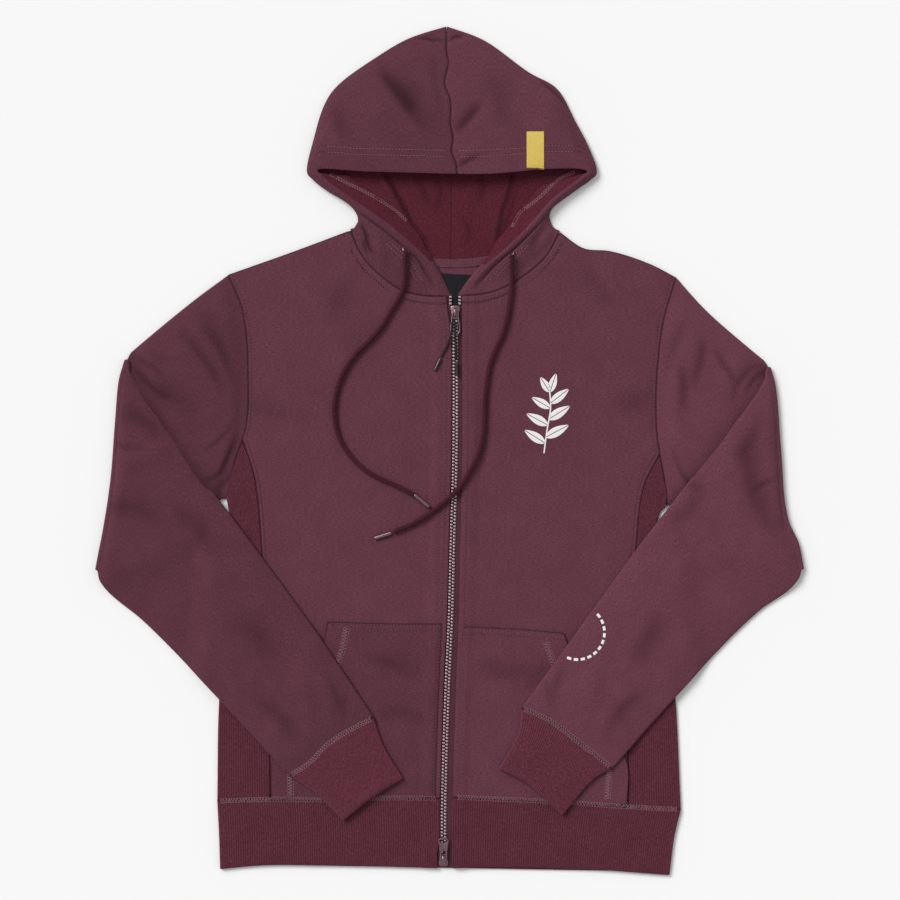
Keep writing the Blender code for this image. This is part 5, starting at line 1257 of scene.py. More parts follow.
CROWN_CREASES = {
    "right": [
        (5, 0.9, 0.2, -30, 430, -16, 428, -4, 424), (10, -1.6, 0.2, -50, 398, -34, 360, -20, 330),
        (6, -1.2, 0.2, -22, 420, -12, 384, -9, 352), (4, 0.8, 0.2, -12, 402, -10, 384, -5, 366),
        (18, 1.7, 0.0, -84, 380, -70, 345, -66, 312), (9, -1.3, 0.2, -118, 372, -116, 344, -108, 318),
        (10, 1.0, 0.1, -140, 340, -128, 322, -100, 312), (6, 1.1, 0.0, -78, 236, -73, 220, -70, 204),
        (5, -0.8, 0.0, -70, 224, -66, 208, -66, 190)],
    "left": [
        (5, 0.9, -0.2, 4, 428, 16, 432, 28, 434), (9, 1.1, 0.0, 13, 304, 30, 316, 40, 334),
        (12, -1.2, 0.1, 44, 404, 52, 370, 58, 336), (15, 1.4, 0.0, 96, 372, 104, 345, 100, 312),
        (8, -0.9, 0.2, 122, 352, 134, 330, 140, 308), (4.5, -1.2, 0.2, 103, 238, 92, 224, 84, 208),
        (6, 0.9, 0.0, 112, 240, 104, 228, 97, 214)]}
CROWN_LINES = {
    "right": [
        (1.9, -1.7, 0.3, -38, 436.5, -17.5, 434, -4.8, 432), (7.0, -1.8, 0.3, -74, 402, -56, 378, -38, 350),
        (2.2, -1.9, 0.3, -96, 242, -88.5, 228, -87, 220, -81, 208), (2.0, -1.2, 0.3, -92.5, 224, -86.5, 207)],
    "left": [
        (1.9, -1.7, -0.3, -1.6, 434, 12.2, 440.4, 18.6, 442.6), (2.4, -1.6, 0.3, 8, 297.3, 18, 304, 32.3, 311),
        (5.0, -1.5, 0.3, 7, 334, 20, 350, 34, 366),
        (1.8, -1.7, 0.3, 76.9, 404.4, 93.8, 392.7, 115, 373.7, 128.8, 356.7)]}
INSIDE_CREASES = {
    "right": [
        (4.6, 2.2, 0.6, -78, 300, -68, 281, -58, 262, -43, 236), (10, 0.9, 0.3, -30, 292, -20, 266, -10, 244),
        (8, 1.2, 0.0, -112, 290, -88, 272, -60, 250)],
    "left": [
        (4.6, 2.2, -0.6, 72, 296, 67, 272, 61, 250, 52, 222), (10, 0.9, 0.3, 30, 290, 18, 262, 22, 240),
        (3.0, 1.8, 0.3, 132, 294, 126, 284, 118, 279), (3.2, 1.6, 0.3, 122, 292, 116, 280, 108, 270)]}
INSIDE_LINES = {
    "right": [
        (2.4, -2.4, 0.3, -72, 298, -69, 291, -61, 278, -52.5, 262, -38, 236),
        (3.5, -0.8, 0.0, -36, 290, -28, 276, -22, 258), (3.5, -0.6, 0.0, -14, 292, -10, 270, -16, 250),
        (3.0, -0.8, 0.0, -38, 240, -28, 226, -22, 212)],
    "left": [
        (2.4, -2.4, 0.3, 67, 298, 66, 290, 61, 271, 55.6, 255, 48, 220),
        (2.4, -1.2, 0.0, 58, 246, 52, 232, 54, 218), (4.0, -0.6, 0.0, 30, 292, 36, 280, 30, 262),
        (4.0, -0.6, 0.0, 12, 250, 20, 234, 18, 214)]}


def through_rows(points):
    """A line through a table's rows, which it passes at equal steps."""
    points = np.array(points, float)
    last = len(points) - 1

    def at(v):
        place = np.clip(v, 0, 1) * last
        i = np.minimum(place.astype(int), last - 1) if np.ndim(place) else min(int(place), last - 1)
        t = (place - i)[..., None] if np.ndim(place) else place - i
        a, b = points[np.maximum(i - 1, 0)], points[i]
        c, d = points[i + 1], points[np.minimum(i + 2, last)]
        return 0.5 * (2 * b + (c - a) * t + (2 * a - 5 * b + 4 * c - d) * t ** 2
                      + (3 * b - a - 3 * c + d) * t ** 3)

    return at


def hood_patch(bottom, top, start, end):
    """Like patch, but the curves of bottom and top stay near their own edges."""
    def at(s, t):
        s_, t_ = s[..., None], t[..., None]
        bottom_curve = bottom(s) - (1 - s_) * bottom(0.0) - s_ * bottom(1.0)
        top_curve = top(s) - (1 - s_) * top(0.0) - s_ * top(1.0)
        return (1 - s_) * start(t) + s_ * end(t) + (1 - t_) ** 4 * bottom_curve + t_ ** 4 * top_curve
    return at


# %% Hood halves
BRIM_ROWS = (18.0, 24.5)
hood_leaf = {}
for side in OUTLINES:
    sign, inset = SIGN[side], LEAF + CLOTH / 2
    table = np.array(HOOD_ROWS[side], float)
    rim, rim_z = through_rows(table[:, 0:2]), through_rows(table[:, 2:3])
    fold, fold_z = through_rows(table[:, 3:5]), through_rows(table[:, 5:6])
    crown = stretch(shifted(smooth(CROWN_SEAM), -sign * SIDE_SEAM), 0, 1 - inset / 157)
    collar = shifted(LINES[side]["neck"], sign * SIDE_SEAM)
    corner = shifted(smooth(BACK_NECK), SIDE_SEAM + 0.15)(0.003 if side == "right" else 0.997)
    collar = pinned(collar, collar(0.0), corner)
    inner_fold = pinned(shifted(fold, -sign * inset), crown(1.0), collar(1.0), 0.12)
    opening = pinned(rim, crown(0.0), collar(0.0), 0.05)
    flat = hood_patch(crown, collar, opening, inner_fold)

    v = np.concatenate([[0, 0.002, 0.004, 0.007], np.linspace(0.012, 0.985, 134),
                        [0.989, 0.993, 0.996, 1.0]])
    u = np.concatenate([[0, 0.008, 0.018, 0.03], np.linspace(0.05, 0.96, 40), [0.975, 0.988, 1.0]])
    uu, vv = np.meshgrid(u, v)
    place = flat(uu, vv)
    x, y = place[..., 0], place[..., 1]
    heart_z = np.maximum(fold_z(v), FOLD_Z)
    low = heart_z + LEAF
    steep = blend(3.2, 1.5, ease((vv - 0.25) / 0.2))
    z = low + (rim_z(v) - low) * (1 - uu ** steep)
    z = blend(z, FRONT_Z + placket(x, y), ease((vv - 0.86) / 0.14))
    across, along = measured(raised(place, z))
    bend, sharp = (crease_height(x, y, rows[side]) for rows in (CROWN_CREASES, CROWN_LINES))
    relief = bend + sharp
    relief += 0.5 * swell(x, y, 40, 61) + 0.25 * swell(x, y, 16, 62)
    away = np.minimum(ease(across / 9), ease((across[:, -1:] - across) / 5))
    relief = relief * np.maximum(away, 0.15) * ease((1 - vv) / 0.05 + 0.1)
    relief += seam_relief(along, (), 1.1) * fade(uu, 0.97, 0.03)
    relief += seam_relief(along[-1:] - along, (), 0.9)
    hump_shown = ease((vv - 0.36) / 0.07) * ease((0.985 - vv) / 0.05)
    lip_shown = ease((vv - 0.58) / 0.06) * ease((0.985 - vv) / 0.05)
    relief += 1.2 * np.exp(-((across - 3.0) / 3.6) ** 2) * hump_shown
    relief -= 2.0 * np.exp(-((across - 9.6) / 2.0) ** 2) * lip_shown
    upper_leaf = raised(place, z + relief)
    on_hem = np.maximum(fade(vv, 0.30, 0.05), ease((vv - 0.80) / 0.05))
    leaf_row = np.where(on_hem > 0.5, nearest_row((across, BRIM_ROWS)), 99)
    leaf_seam = np.minimum(np.where(uu < 0.985, along, 99), along[-1:] - along)
    # Painted shade in the crown's fold valleys, and a painted shadow line in the crease under the lip.
    leaf_tuck = tucked(bend, 6.0) * away + 0.55 * np.exp(-((across - 9.6) / 1.5) ** 2) * lip_shown
    leaf_tuck += tucked(sharp, 2.4) * away
    hood_leaf[side] = (upper_leaf.copy(), across)

    first = upper_leaf[:, 0]
    inward = first - upper_leaf[:, 3]
    inward[:, 2] = 0
    inward /= np.linalg.norm(inward, axis=1, keepdims=True)
    shown = ease((v - 0.37) / 0.07)[:, None]
    width = 8 + 11 * ease((v - 0.42) / 0.08) - 15 * ease((v - 0.74) / 0.16)
    drop = np.maximum(first[:, 2:] - 3.6, 1.2)
    end = first + inward * width[:, None] - UP * drop
    turn_near = first + inward * 2.2
    turn_far = first + inward * 6.0 - UP * 2.0
    under_width = np.minimum(22.0, 0.6 * across[:, -1])
    turned = []
    for k in np.linspace(1, 0, 16)[:-1]:
        inside = ((1 - k) ** 3 * first + 3 * k * (1 - k) ** 2 * turn_near
                  + 3 * k * k * (1 - k) * turn_far + k ** 3 * end)
        under = np.stack([[np.interp(k * reach, across[i], upper_leaf[i, :, c]) for c in range(3)]
                          for i, reach in enumerate(under_width)])
        under[:, 2] -= 3.4 * np.sqrt(1 - (1 - np.minimum(k * under_width / 3.0, 1)) ** 2)
        turned.append(under * (1 - shown) + inside * shown)
    turned = np.stack(turned, axis=1)
    turned[..., 2] = np.maximum(turned[..., 2], 2.9)

    seam = smooth(BACK_SEAM)
    back_neck = smooth(BACK_NECK)
    middle = nearest_share(back_neck, BACK_SEAM[-1])
    neck_line = stretch(back_neck, 0 if side == "right" else 1, middle)
    neck_line = shifted(neck_line, -sign * (SIDE_SEAM + 0.2))
    neck_line = pinned(neck_line, inner_fold(1.0), seam(1.0), 0.1)
    lower = hood_patch(straight(inner_fold(0.0), seam(0.0)), neck_line, inner_fold, seam)
    w = np.concatenate([np.linspace(0, 0.12, 6), np.linspace(0.15, 1.0, 38)])
    ww, wv = np.meshgrid(w, v)
    place = lower(ww, wv)
    from_fold = np.linalg.norm(place - inner_fold(v)[:, None], axis=-1)
    z = BACK_Z + (heart_z - LEAF - BACK_Z) * fade(from_fold, 0, 28)
    x, y = place[..., 0], place[..., 1]
    inner_relief = crease_height(x, y, INSIDE_CREASES[side]) + 0.5 * np.abs(swell(x, y, 22, 66))
    z += np.maximum(inner_relief, 0) * ease((from_fold - 4) / 12) * ease((1 - wv) / 0.06) * ease((1 - ww) / 0.08)

    angles = (pi * (np.arange(5) + 1) / 6)[None, :, None]
    out = flat_out(inner_fold, v, sign)[:, None]
    heart = raised(inner_fold(v), heart_z[:, 0])[:, None]
    upper_leaf[:, -1, 2] = low[:, 0]
    turn = heart + LEAF * (UP * np.cos(angles) + out * np.sin(angles))
    places = np.concatenate([turned, upper_leaf, turn, raised(place, z)], axis=1)
    across, along = measured(places)
    first_up, last_up = turned.shape[1], turned.shape[1] + len(u)
    seam_at, row_at = np.full(across.shape, 99.0), np.full(across.shape, 99.0)
    tuck, facing = np.zeros(across.shape), np.zeros(across.shape)
    seam_at[:, first_up:last_up], row_at[:, first_up:last_up] = leaf_seam, leaf_row
    tuck[:, first_up:last_up] = leaf_tuck
    seam_at[:, last_up + 5:] = np.minimum((across[:, -1:] - across)[:, last_up + 5:] + 0.7,
                                          (along[-1:] - along)[:, last_up + 5:])
    # Painted shade in the folds of the lower leaf.
    tuck[:, last_up + 5:] = tucked(crease_height(x, y, INSIDE_LINES[side]), 2.0)
    facing[:, :first_up - 1] = (v < 0.885)[:, None]
    mesh = sheet_mesh("hood_cloth_" + side, places, places[..., 1::-1],
                      up_columns=slice(first_up, last_up - 1), seam=seam_at, row=row_at, tuck=tuck,
                      facing=facing)
    on_facing = np.empty(len(mesh.vertices), np.float32)
    mesh.attributes["facing"].data.foreach_get("value", on_facing)
    for face in mesh.polygons:
        face.material_index = int(on_facing[list(face.vertices)].min() > 0.5)
    sewn("hood_" + side, "hood_cloth_" + side, mesh, [hood_painted_shade_jersey[side], lining])

# %% [markdown]
# ## Neck tape, label and tab
# Inside the neck a flat tape covers the seam, and below it a plain black woven label is sewn to
# the back. A plain yellow woven tab is folded over the hood's brim. All three are narrow woven
# strips: they start as grids, and their weave is finer than the cloth's knit.

# %% Small strips
def strip_piece(name, places, grain, thickness, finish, node):
    mesh = sheet_mesh(name, places, grain)
    return thicken(show(name, mesh, [finish], [node]), thickness, 0.12)


tape_line = stretch(smooth(BACK_NECK), 0.27, 0.73)
s, t = np.meshgrid(np.linspace(0, 1, 60), np.linspace(0, 1, 9))
place = tape_line(s) + left_of(tape_line, s) * blend(-5.5, 3.5, t)[..., None]
z = 2.2 + 0.25 * np.sin(t * pi) + 0.05 * swell(place[..., 0], place[..., 1], 6, 71)
pieces["neck_tape"] = strip_piece("neck_tape_weave", raised(place, z), place, 0.6, jersey, "neck_tape")
s, t = np.meshgrid(np.linspace(0, 1, 30), np.linspace(0, 1, 34))
place = patch(straight((-12, 152), (22, 152)), straight((-13.5, 188), (22.5, 186)),
              straight((-12, 152), (-13.5, 188)), straight((22, 152), (22.5, 186)))(s, t)
z = 1.95 + 0.35 * np.sin(t * pi) * np.sin(s * pi)
strip_piece("neck_label_weave", raised(place, z), place, 0.3, label_satin, "neck_label")

# %% [markdown]
# ## Where a piece is sewn on
# Stitches, print and tab have to lie on the finished cloth, whatever its creases. A tree of the
# cloth's faces answers that: a ray cast down at a place gives the height and the slope there.

# %% Casting down on to the cloth
def cloth_under(*names):
    """A function that gives the top face of the cloth at (x, y): its place and its normal."""
    trees = []
    for name in names:
        mesh = pieces[name].data
        corners = [v.co / METRE for v in mesh.vertices]
        faces = [tuple(p.vertices) for p in mesh.polygons]
        half = pieces[name].modifiers["thickness"].thickness / METRE / 2
        trees.append((BVHTree.FromPolygons(corners, faces), half))

    def at(x, y, from_z=60.0):
        best = None
        for cast, half in trees:
            spot, normal, _, _ = cast.ray_cast(Vector((x, y, from_z)), Vector((0, 0, -1)))
            if spot is not None:
                if normal.z < 0:
                    normal = -normal
                spot = spot + normal * half
                if best is None or spot.z > best[0].z:
                    best = (spot, normal)
        return best

    return at


def above(cloth, flat, height):
    """Flat places moved to a height above the cloth."""
    hits = [cloth(*place) for place in flat.reshape(-1, 2)]
    return np.array([spot + normal * height for spot, normal in hits]).reshape(flat.shape[:-1] + (3,))


hood_face = {side: cloth_under("hood_" + side) for side in OUTLINES}
front_face = {side: cloth_under("front_" + side) for side in OUTLINES}

# %% Tab on the brim
tab_flat = np.stack(np.meshgrid(np.linspace(81.3, 99.5, 16), np.linspace(336, 299.8, 30)), -1)
tab_places = above(hood_face["left"], tab_flat, 0.55)[::-1]
tab_places = np.concatenate([tab_places[:1] - (0, 3.4, 1.5), tab_places])
s, t = np.meshgrid(np.linspace(0, 19, 16), np.linspace(0, 44, 31))
strip_piece("brim_tab_weave", tab_places, np.stack([s, t], -1), 0.6, yellow_weave, "hood_tab")

# %% [markdown]
# ## Stitches
# Each stitch is a small thread sausage, a stretched ball of twenty faces, laid on the cloth
# between two needle holes. A plain row is one line of them. A cover stitch, which holds ribs
# and turned hems, is two such rows with a looping thread across between them.

# %% Stitch makers
STITCH_LENGTH, STITCH_GAP, STITCHES_AT_ONCE = 2.7, 0.7, 60


def add_stitch(shape, start, end, normal, width, height):
    """One stitch between two places on the cloth."""
    ahead = end - start
    length = ahead.length
    if length < 0.2:
        return
    ahead.normalize()
    aside = normal.cross(ahead).normalized()
    over = ahead.cross(aside)
    middle = ((start + end) / 2 + over * height * 0.3) * METRE
    columns = (ahead * length * 0.54, aside * width / 2, over * height / 2)
    matrix = Matrix([[c[k] * METRE for c in columns] + [middle[k]] for k in range(3)] + [[0, 0, 0, 1]])
    bmesh.ops.create_icosphere(shape, subdivisions=1, radius=1.0, matrix=matrix)


def along_line(line, spacing):
    """Places on a line at an even spacing in millimetres."""
    return line(np.linspace(0, 1, max(int(length_of(line) / spacing), 2) + 1))


def stitches_on(line, spacing, share):
    """Start and end of each stitch on a line. A stitch takes up a share of its spacing."""
    holes = along_line(line, spacing)
    return [(a, a + (b - a) * share) for a, b in zip(holes, holes[1:])]


def stitch_group(name, rows, bands, cloth, finish):
    """Rows of plain stitches and bands of cover stitch on the cloth, as one piece."""
    parts = []

    def lay(pairs, width, height, steepest=3.8):
        for first in range(0, len(pairs), STITCHES_AT_ONCE):
            parts.append(bmesh.new())
            for start, end in pairs[first:first + STITCHES_AT_ONCE]:
                a, b = cloth(*start), cloth(*end)
                if a and b and abs(a[0].z - b[0].z) < steepest:
                    add_stitch(parts[-1], a[0], b[0], (a[1] + b[1]).normalized(), width, height)

    spacing = STITCH_LENGTH + STITCH_GAP
    for line in rows:
        lay(stitches_on(line, spacing, STITCH_LENGTH / spacing), 0.75, 0.5, 1.6)
    for line, width, spacing in bands:
        for offset in (-width / 2, width / 2):
            lay(stitches_on(shifted(line, offset), 2.6, 0.85), 0.85, 0.6)
        shares = np.linspace(0, 1, int(length_of(line, 200) / spacing) + 1)
        one, other = (shifted(line, offset)(shares) for offset in (-width / 2, width / 2))
        lay([(one[k], other[k + 1]) if k % 2 else (other[k], one[k + 1]) for k in range(len(one) - 1)],
            0.8, 0.6)
    show(name, gathered(name, parts), [finish])


# %% Stitches of the body
for side in OUTLINES:
    lines, sign = LINES[side], SIGN[side]
    edge = front_edge(side)
    rows = [shifted(edge, -sign * d) for d in ((4.0, 9.5) if side == "right" else (6.4,))]
    neck_inner = stretch(lines["neck"], 0.03, 0.97)
    rows += [shifted(neck_inner, -sign * d) for d in (2.5, 7.5)]
    armhole = stretch(lines["armhole"], 0.02, 0.84)
    rows += [shifted(armhole, -sign * 4.0)]
    stitch_group("front_stitches_" + side, rows, [], front_face[side], dark_thread)

# %% Stitches of the pockets, the hem and the cuffs
for side in OUTLINES:
    lines, sign = LINES[side], SIGN[side]
    edge, mouth, top = pocket_lines[side]
    rows = [shifted(stretch(edge, 0.01, 0.99), -sign * 2.4)]
    rows += [shifted(stretch(top, 0.0, 0.985), -sign * d) for d in (1.8, 7.8)]
    pocket_face = cloth_under("pocket_" + side)
    stitch_group("pocket_stitches_" + side, rows, [], pocket_face, dark_thread)
    mouth_hem = shifted(stretch(mouth, 0.02, 0.985), sign * 21)
    stitch_group("pocket_mouth_band_" + side, [], [(mouth_hem, 6.2, 1.55)], pocket_face, soft_thread)
    band = stretch(lines["hem_seam"], 0.02, 0.985)
    under = cloth_under("front_" + side, "side_panel_" + side, "hem_band", "pocket_" + side)
    stitch_group("hem_cover_stitch_" + side, [], [(band, 4.2, 1.5)], under, soft_thread)
    band = stretch(lines["cuff_seam"], 0.03, 0.97)
    stitch_group("cuff_cover_stitch_" + side, [], [(band, 4.4, 1.5)],
                 cloth_under("sleeve_" + side, "cuff_" + side), soft_thread)

# %% Stitches of the hood
FACING_BANDS = {
    "right": [(-126.7, 292), (-110.8, 283.6), (-94.9, 276.1), (-79, 267.7), (-63.1, 258.1), (-55.7, 252.8),
              (-45.1, 242.2)],
    "left": [(133, 295.2), (117.1, 287.8), (106.5, 278.3), (95.9, 267.7), (85.3, 259.2), (74.7, 251.8),
             (69.4, 242.2), (66.3, 235.9)],
}


def brim_row(side, distance, first, last):
    """A line on the hood at a set distance from its rim, between two rows of its grid."""
    leaf, from_rim = hood_leaf[side]
    return smooth([[np.interp(distance, from_rim[i], leaf[i, :, c]) for c in (0, 1)]
                   for i in range(first, last, 5)])


for side in OUTLINES:
    rows = [brim_row(side, distance, first, last) for distance in BRIM_ROWS
            for first, last in ((5, 42), (112, 137))]
    stitch_group("hood_brim_stitches_" + side, rows, [], hood_face[side], soft_thread)
    stitch_group("hood_facing_band_" + side, [], [(smooth(FACING_BANDS[side]), 3.0, 1.6)], hood_face[side],
                 soft_thread)
tape_rows = [shifted(stretch(tape_line, 0.02, 0.98), d) for d in (-4.6, 2.6)]
stitch_group("neck_tape_stitches", tape_rows, [], cloth_under("neck_tape"), dark_thread)

# %% [markdown]
# ## The zip
# A moulded zip has one row of teeth on each tape, set half a tooth apart so that they hook into
# each other. The two sliders open it from the top and from the bottom. A casting such as a
# slider or a pull is drawn as an outline with its holes, filled, pulled up to its thickness and
# rounded, as a die maker would cut it.

# %% Zip tapes
def parted(y):
    """How far each half of the zip stands from its middle, above the top slider."""
    return 3.2 * ease((y - 126) / 30)


def tape_places(sign, outer):
    """A woven tape from the middle of the zip to its outer edge, parting above the slider."""
    s, t = np.meshgrid(np.linspace(0, 1, 9), np.linspace(0, 1, 150))
    y = blend(-441.0, 166.0, t)
    part = parted(y)
    x = zip_x(y) + sign * (blend(0.25, outer, s) + part)
    z = 2.8 + 0.25 * np.exp(-((s * outer - 3.4) / 0.5) ** 2)
    return np.stack([x, y, z], -1), np.stack([x, y], -1)


for side, outer in (("right", 11.0), ("left", 13.0)):
    strip_piece("zip_tape_weave_" + side, *tape_places(SIGN[side], outer), 0.6, taping, "zip_tape_" + side)

# %% Castings
def cast(loops, thickness, rim, matrix):
    """An outline and its holes in millimetres, filled, pulled up and rounded."""
    shape = bmesh.new()
    edges = []
    for loop in loops:
        corners = [shape.verts.new((x, y, 0)) for x, y in loop]
        edges += [shape.edges.new(pair) for pair in zip(corners, corners[1:] + corners[:1])]
    bmesh.ops.triangle_fill(shape, use_beauty=True, use_dissolve=True, edges=edges)
    grown = bmesh.ops.extrude_face_region(shape, geom=shape.faces[:])
    lifted = [part for part in grown["geom"] if isinstance(part, bmesh.types.BMVert)]
    bmesh.ops.translate(shape, verts=lifted, vec=(0, 0, thickness))
    bmesh.ops.recalc_face_normals(shape, faces=shape.faces[:])
    rims = [edge for edge in shape.edges if edge.calc_face_angle(0) > 0.9]
    bmesh.ops.bevel(shape, geom=rims, offset=rim, offset_type="OFFSET", segments=2, profile=0.5,
                    affect="EDGES", material=-1, clamp_overlap=True)
    bmesh.ops.transform(shape, matrix=Matrix.Scale(METRE, 4) @ matrix, verts=shape.verts[:])
    return shape


def arc(x, y, half_x, half_y, start, end, count=13):
    return [(x + half_x * cos(radians(angle)), y + half_y * sin(radians(angle)))
            for angle in np.linspace(start, end, count)]


def casting(name, shapes, finish, node, body="garment"):
    show(name, gathered(name, shapes, sharp=True), [finish], [node], body)


# %% Teeth
TOOTH_PITCH = 3.5
shape = bmesh.new()
for column in (-1, 1):
    start = -425.0 + (TOOTH_PITCH / 2 if column > 0 else 0)
    for y in [*np.arange(start, 137.5, TOOTH_PITCH), 155.5, 159.0, 162.5]:
        aside = 1.65 + (parted(y) if y > 150 else 0)
        at = Matrix.Translation((zip_x(y) + column * aside, y, 3.85))
        size = Matrix.Diagonal((2.5, 1.95, 1.9, 1))
        bmesh.ops.create_cube(shape, size=1.0, matrix=at @ size)
bmesh.ops.bevel(shape, geom=shape.edges[:], offset=0.45, offset_type="OFFSET", segments=2, profile=0.5,
                affect="EDGES", material=-1, clamp_overlap=True)
bmesh.ops.transform(shape, matrix=Matrix.Scale(METRE, 4), verts=shape.verts[:])
casting("zip_teeth", [shape], tooth_metal, "zip_chain")

# %% Sliders and pulls
HINGE_Z = 6.8
BRIDGE = [(-5.0, 4.7), (-4.6, 7.5), (-2.8, 8.95), (2.8, 8.95), (4.6, 7.5), (5.0, 4.7), (1.9, 4.7), (1.9, 7.6),
          (1.5, 7.95), (-1.5, 7.95), (-1.9, 7.6), (-1.9, 4.7)]
PULLS = {
    "top": [arc(0, 18.5, 5.5, 5.5, 0, 180, 19) + [(-5.1, 14), (-4.2, 8), (-3.7, 3), (-3.7, -0.8), (3.7, -0.8),
                                              (3.7, 3), (4.2, 8), (5.1, 14)],
            arc(0, 18.5, 4.1, 4.1, 0, 180, 19) + [(-3.75, 14), (-2.85, 8), (-2.35, 3), (-2.35, 0.7), (2.35, 0.7),
                                              (2.35, 3), (2.85, 8), (3.75, 14)]],
    "bottom": [arc(0, 19.8, 5.6, 3.6, -15, 195) + [(-4.6, 15.5), (-4.5, 11), (-3.9, 8), (-3.9, 2),
                                                   (-4.4, -0.8), (4.4, -0.8), (3.9, 2), (3.9, 8), (4.5, 11),
                                                   (4.6, 15.5)],
               arc(0, 19.8, 4.4, 2.4, 0, 330, 12),
               [(-2.1, 0.8), (2.1, 0.8), (2.1, 8.4), (1.3, 9.2), (-1.3, 9.2), (-2.1, 8.4)]],
}
for which, hinge_y, mouth_way, pull_way, tail in (("top", 146.0, 1, -1, 7.5), ("bottom", -432.5, -1, 1, 5.6)):
    x = float(zip_x(hinge_y))
    half = [(3.6, -tail), (3.8, 0), (5.2, 3), (4.6, 6.5), (2, 7.5)]
    outline = [(px, mouth_way * py) for px, py in half] + [(-px, mouth_way * py) for px, py in half[::-1]]
    body = cast([outline], 2.1, 0.55, Matrix.Translation((x, hinge_y, 3.4)))
    across_x = Matrix(((0, 0, 1, x - 1.4), (1, 0, 0, hinge_y), (0, 1, 0, 0), (0, 0, 0, 1)))
    bridge = cast([BRIDGE], 2.8, 0.4, across_x)
    casting("slider_body_" + which, [body, bridge], rose_metal, "slider_" + which)
    loops = [[(px, pull_way * py) for px, py in loop] for loop in PULLS[which]]
    pull = cast(loops, 1.5, 0.4, Matrix.Translation((x, hinge_y, HINGE_Z - 0.75)))
    casting("pull_casting_" + which, [pull], rose_metal, "pull_" + which, "pull_" + which)

# %% Eyelets
def turned_ring(spot, normal):
    """A pressed eyelet: its section once round by spin, seated on the cloth."""
    section = [(2.5, -0.3), (4.2, -0.3), (4.2, 0.4), (3.75, 0.8), (3.0, 0.9), (2.55, 0.5)]
    shape = bmesh.new()
    corners = [shape.verts.new((radius, 0, z)) for radius, z in section]
    edges = [shape.edges.new(pair) for pair in zip(corners, corners[1:] + corners[:1])]
    bmesh.ops.spin(shape, geom=corners + edges, cent=(0, 0, 0), axis=(0, 0, 1), angle=2 * pi, steps=32,
                   use_merge=True, use_duplicate=False)
    bmesh.ops.remove_doubles(shape, verts=shape.verts[:], dist=1e-4)
    bmesh.ops.recalc_face_normals(shape, faces=shape.faces[:])
    turn = Vector((0, 0, 1)).rotation_difference(normal).to_matrix().to_4x4()
    bmesh.ops.transform(shape, matrix=Matrix.Scale(METRE, 4) @ Matrix.Translation(spot) @ turn,
                        verts=shape.verts[:])
    return shape


for side, (x, y) in {"right": (-46.0, 212.0), "left": (65.1, 207.9)}.items():
    casting("eyelet_ring_" + side, [turned_ring(*hood_face[side](x, y))], rose_metal, "eyelet_" + side)

# %% [markdown]
# ## Plain prints
# A garment like this carries a printed mark on the chest and one on a forearm. Here the chest
# gets a leaf sprig and the forearm half a ring of dashes, both plain ink with no words. Ink is
# a film that follows every roll of the cloth, so each shape is a small grid whose points are
# cast down on to it.

# %% Ink on the cloth
def ink_piece(name, cloth, shapes):
    films = [sheet_mesh("ink", above(cloth, flat, 0.14), flat) for flat in shapes]
    piece = thicken(show(name, gathered(name, films), [print_ink]), 0.12, 0.04)


def leaf_halves(root, angle, length, width):
    """The two halves of one leaf, with a bare midrib between them."""
    ahead = np.array([cos(radians(angle)), sin(radians(angle))])
    aside = np.array([-ahead[1], ahead[0]])
    u, v = np.meshgrid(np.linspace(0, 1, 14), np.linspace(0, 1, 4))
    reach = (0.35 + (width - 0.35) * np.sin(pi * u ** 0.8) ** 0.9) * v + 0.35
    return [np.array(root) + ahead * (u * length)[..., None] + aside * (way * reach)[..., None]
            for way in (-1, 1)]


STEM = smooth([(100, -3), (103, 20), (107, 45), (106, 64)])
LEAVES = [
    ((101, 8), 148, 25, 4.6), ((102, 14), 28, 27, 4.8), ((104, 27), 152, 25, 4.6),
    ((105, 33), 32, 26, 4.8), ((106.5, 45), 150, 22, 4.2), ((107, 50), 38, 24, 4.4),
    ((106, 62), 122, 18, 3.8), ((106.5, 62), 72, 20, 3.8)]
share, over = np.meshgrid(np.linspace(0, 1, 26), np.linspace(-0.7, 0.7, 3))
stem = STEM(share) + left_of(STEM, share) * over[..., None]
sprig = [stem] + [half for leaf in LEAVES for half in leaf_halves(*leaf)]
ink_piece("chest_sprig", front_face["left"], sprig)

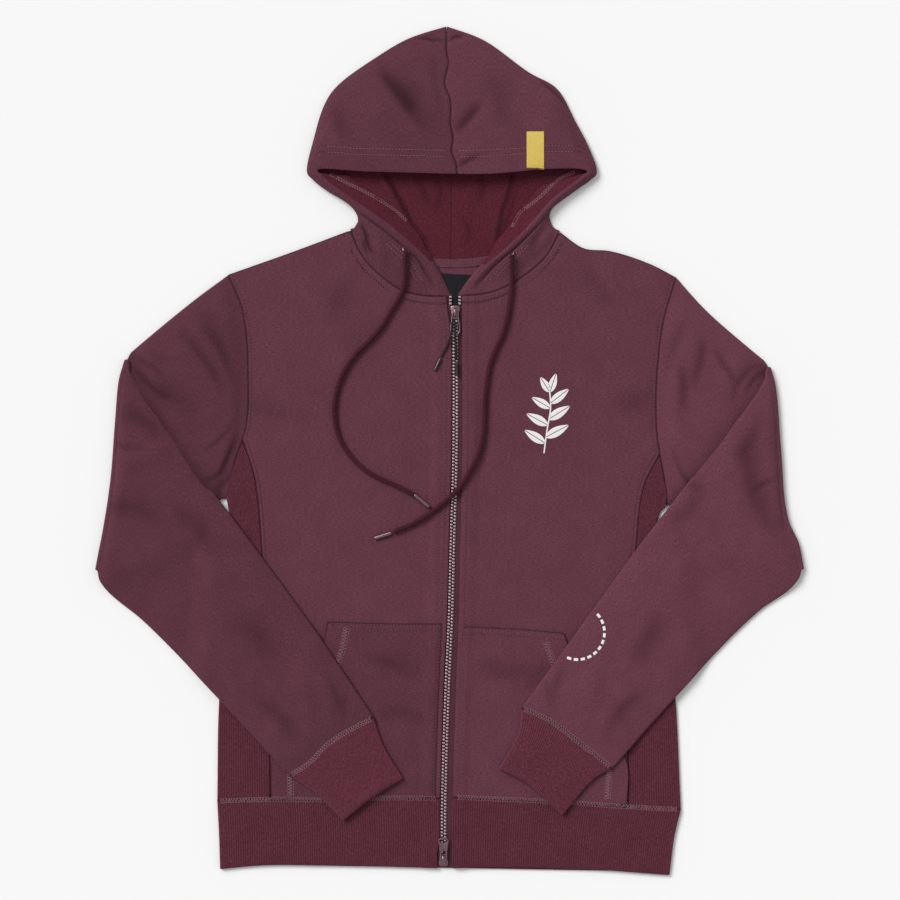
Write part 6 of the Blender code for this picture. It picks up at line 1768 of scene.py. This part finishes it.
dashes = []
for angle in np.arange(-112, 44, 14.5):
    turn, out = np.meshgrid(np.radians(np.linspace(angle, angle + 9.0, 6)), np.linspace(27.2, 30.0, 3))
    dashes.append(np.stack([135 + out * np.cos(turn), -192 + out * np.sin(turn)], -1))
ink_piece("sleeve_dashes", cloth_under("sleeve_left"), dashes)

# %% Loop of the pull's cord
loop_line = smooth([(2.6, 131, 8.9), (2.7, 134.5, 8.7), (4.4, 137.2, 8.3), (6.2, 134.5, 8.7), (6.4, 131, 8.9)])
path = loop_line(np.linspace(0, 1, 30))
loop_mesh = sheet_mesh("pull_cord_loop", *tube_places(path, rounded_ends(30, 1.05, 2), 10, 0.08), closed=True)
loop = show("pull_cord_loop", loop_mesh, [black_cord], body="pull_top")

# %% Floor, light and world
shape = bmesh.new()
bmesh.ops.create_grid(shape, x_segments=1, y_segments=1, size=20.0)
floor = bpy.data.objects.new("floor", as_mesh("floor", shape))
floor.location.z = -0.0004
scene.collection.objects.link(floor)
paper, tree, shader = new_material("white paper floor", (0.93, 0.93, 0.93), 0.8, Specular_IOR_Level=0.1)
floor.data.materials.append(paper)

world = bpy.data.worlds.new("studio")
world.use_nodes = True
world.node_tree.nodes["Background"].inputs[0].default_value = (1, 1, 1, 1)
world.node_tree.nodes["Background"].inputs[1].default_value = 0.50
scene.world = world
sun_data = bpy.data.lights.new("soft key", "SUN")
sun_data.energy = 2.4
sun_data.angle = radians(30)
sun = bpy.data.objects.new("soft key", sun_data)
sun.rotation_euler = Vector((1.0, -0.9, -1.2)).to_track_quat("-Z", "Y").to_euler()
scene.collection.objects.link(sun)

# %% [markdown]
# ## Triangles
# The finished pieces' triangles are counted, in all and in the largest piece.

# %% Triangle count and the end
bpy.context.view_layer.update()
graph = bpy.context.evaluated_depsgraph_get()
totals = {}
for piece in scene.objects:
    if piece.type == "MESH" and piece is not floor and not piece.hide_render:
        finished = piece.evaluated_get(graph).to_mesh()
        totals[piece.name] = sum(len(face.vertices) - 2 for face in finished.polygons)
        piece.evaluated_get(graph).to_mesh_clear()
print("triangles in all:", sum(totals.values()), "most in one piece:", max(totals.values()))
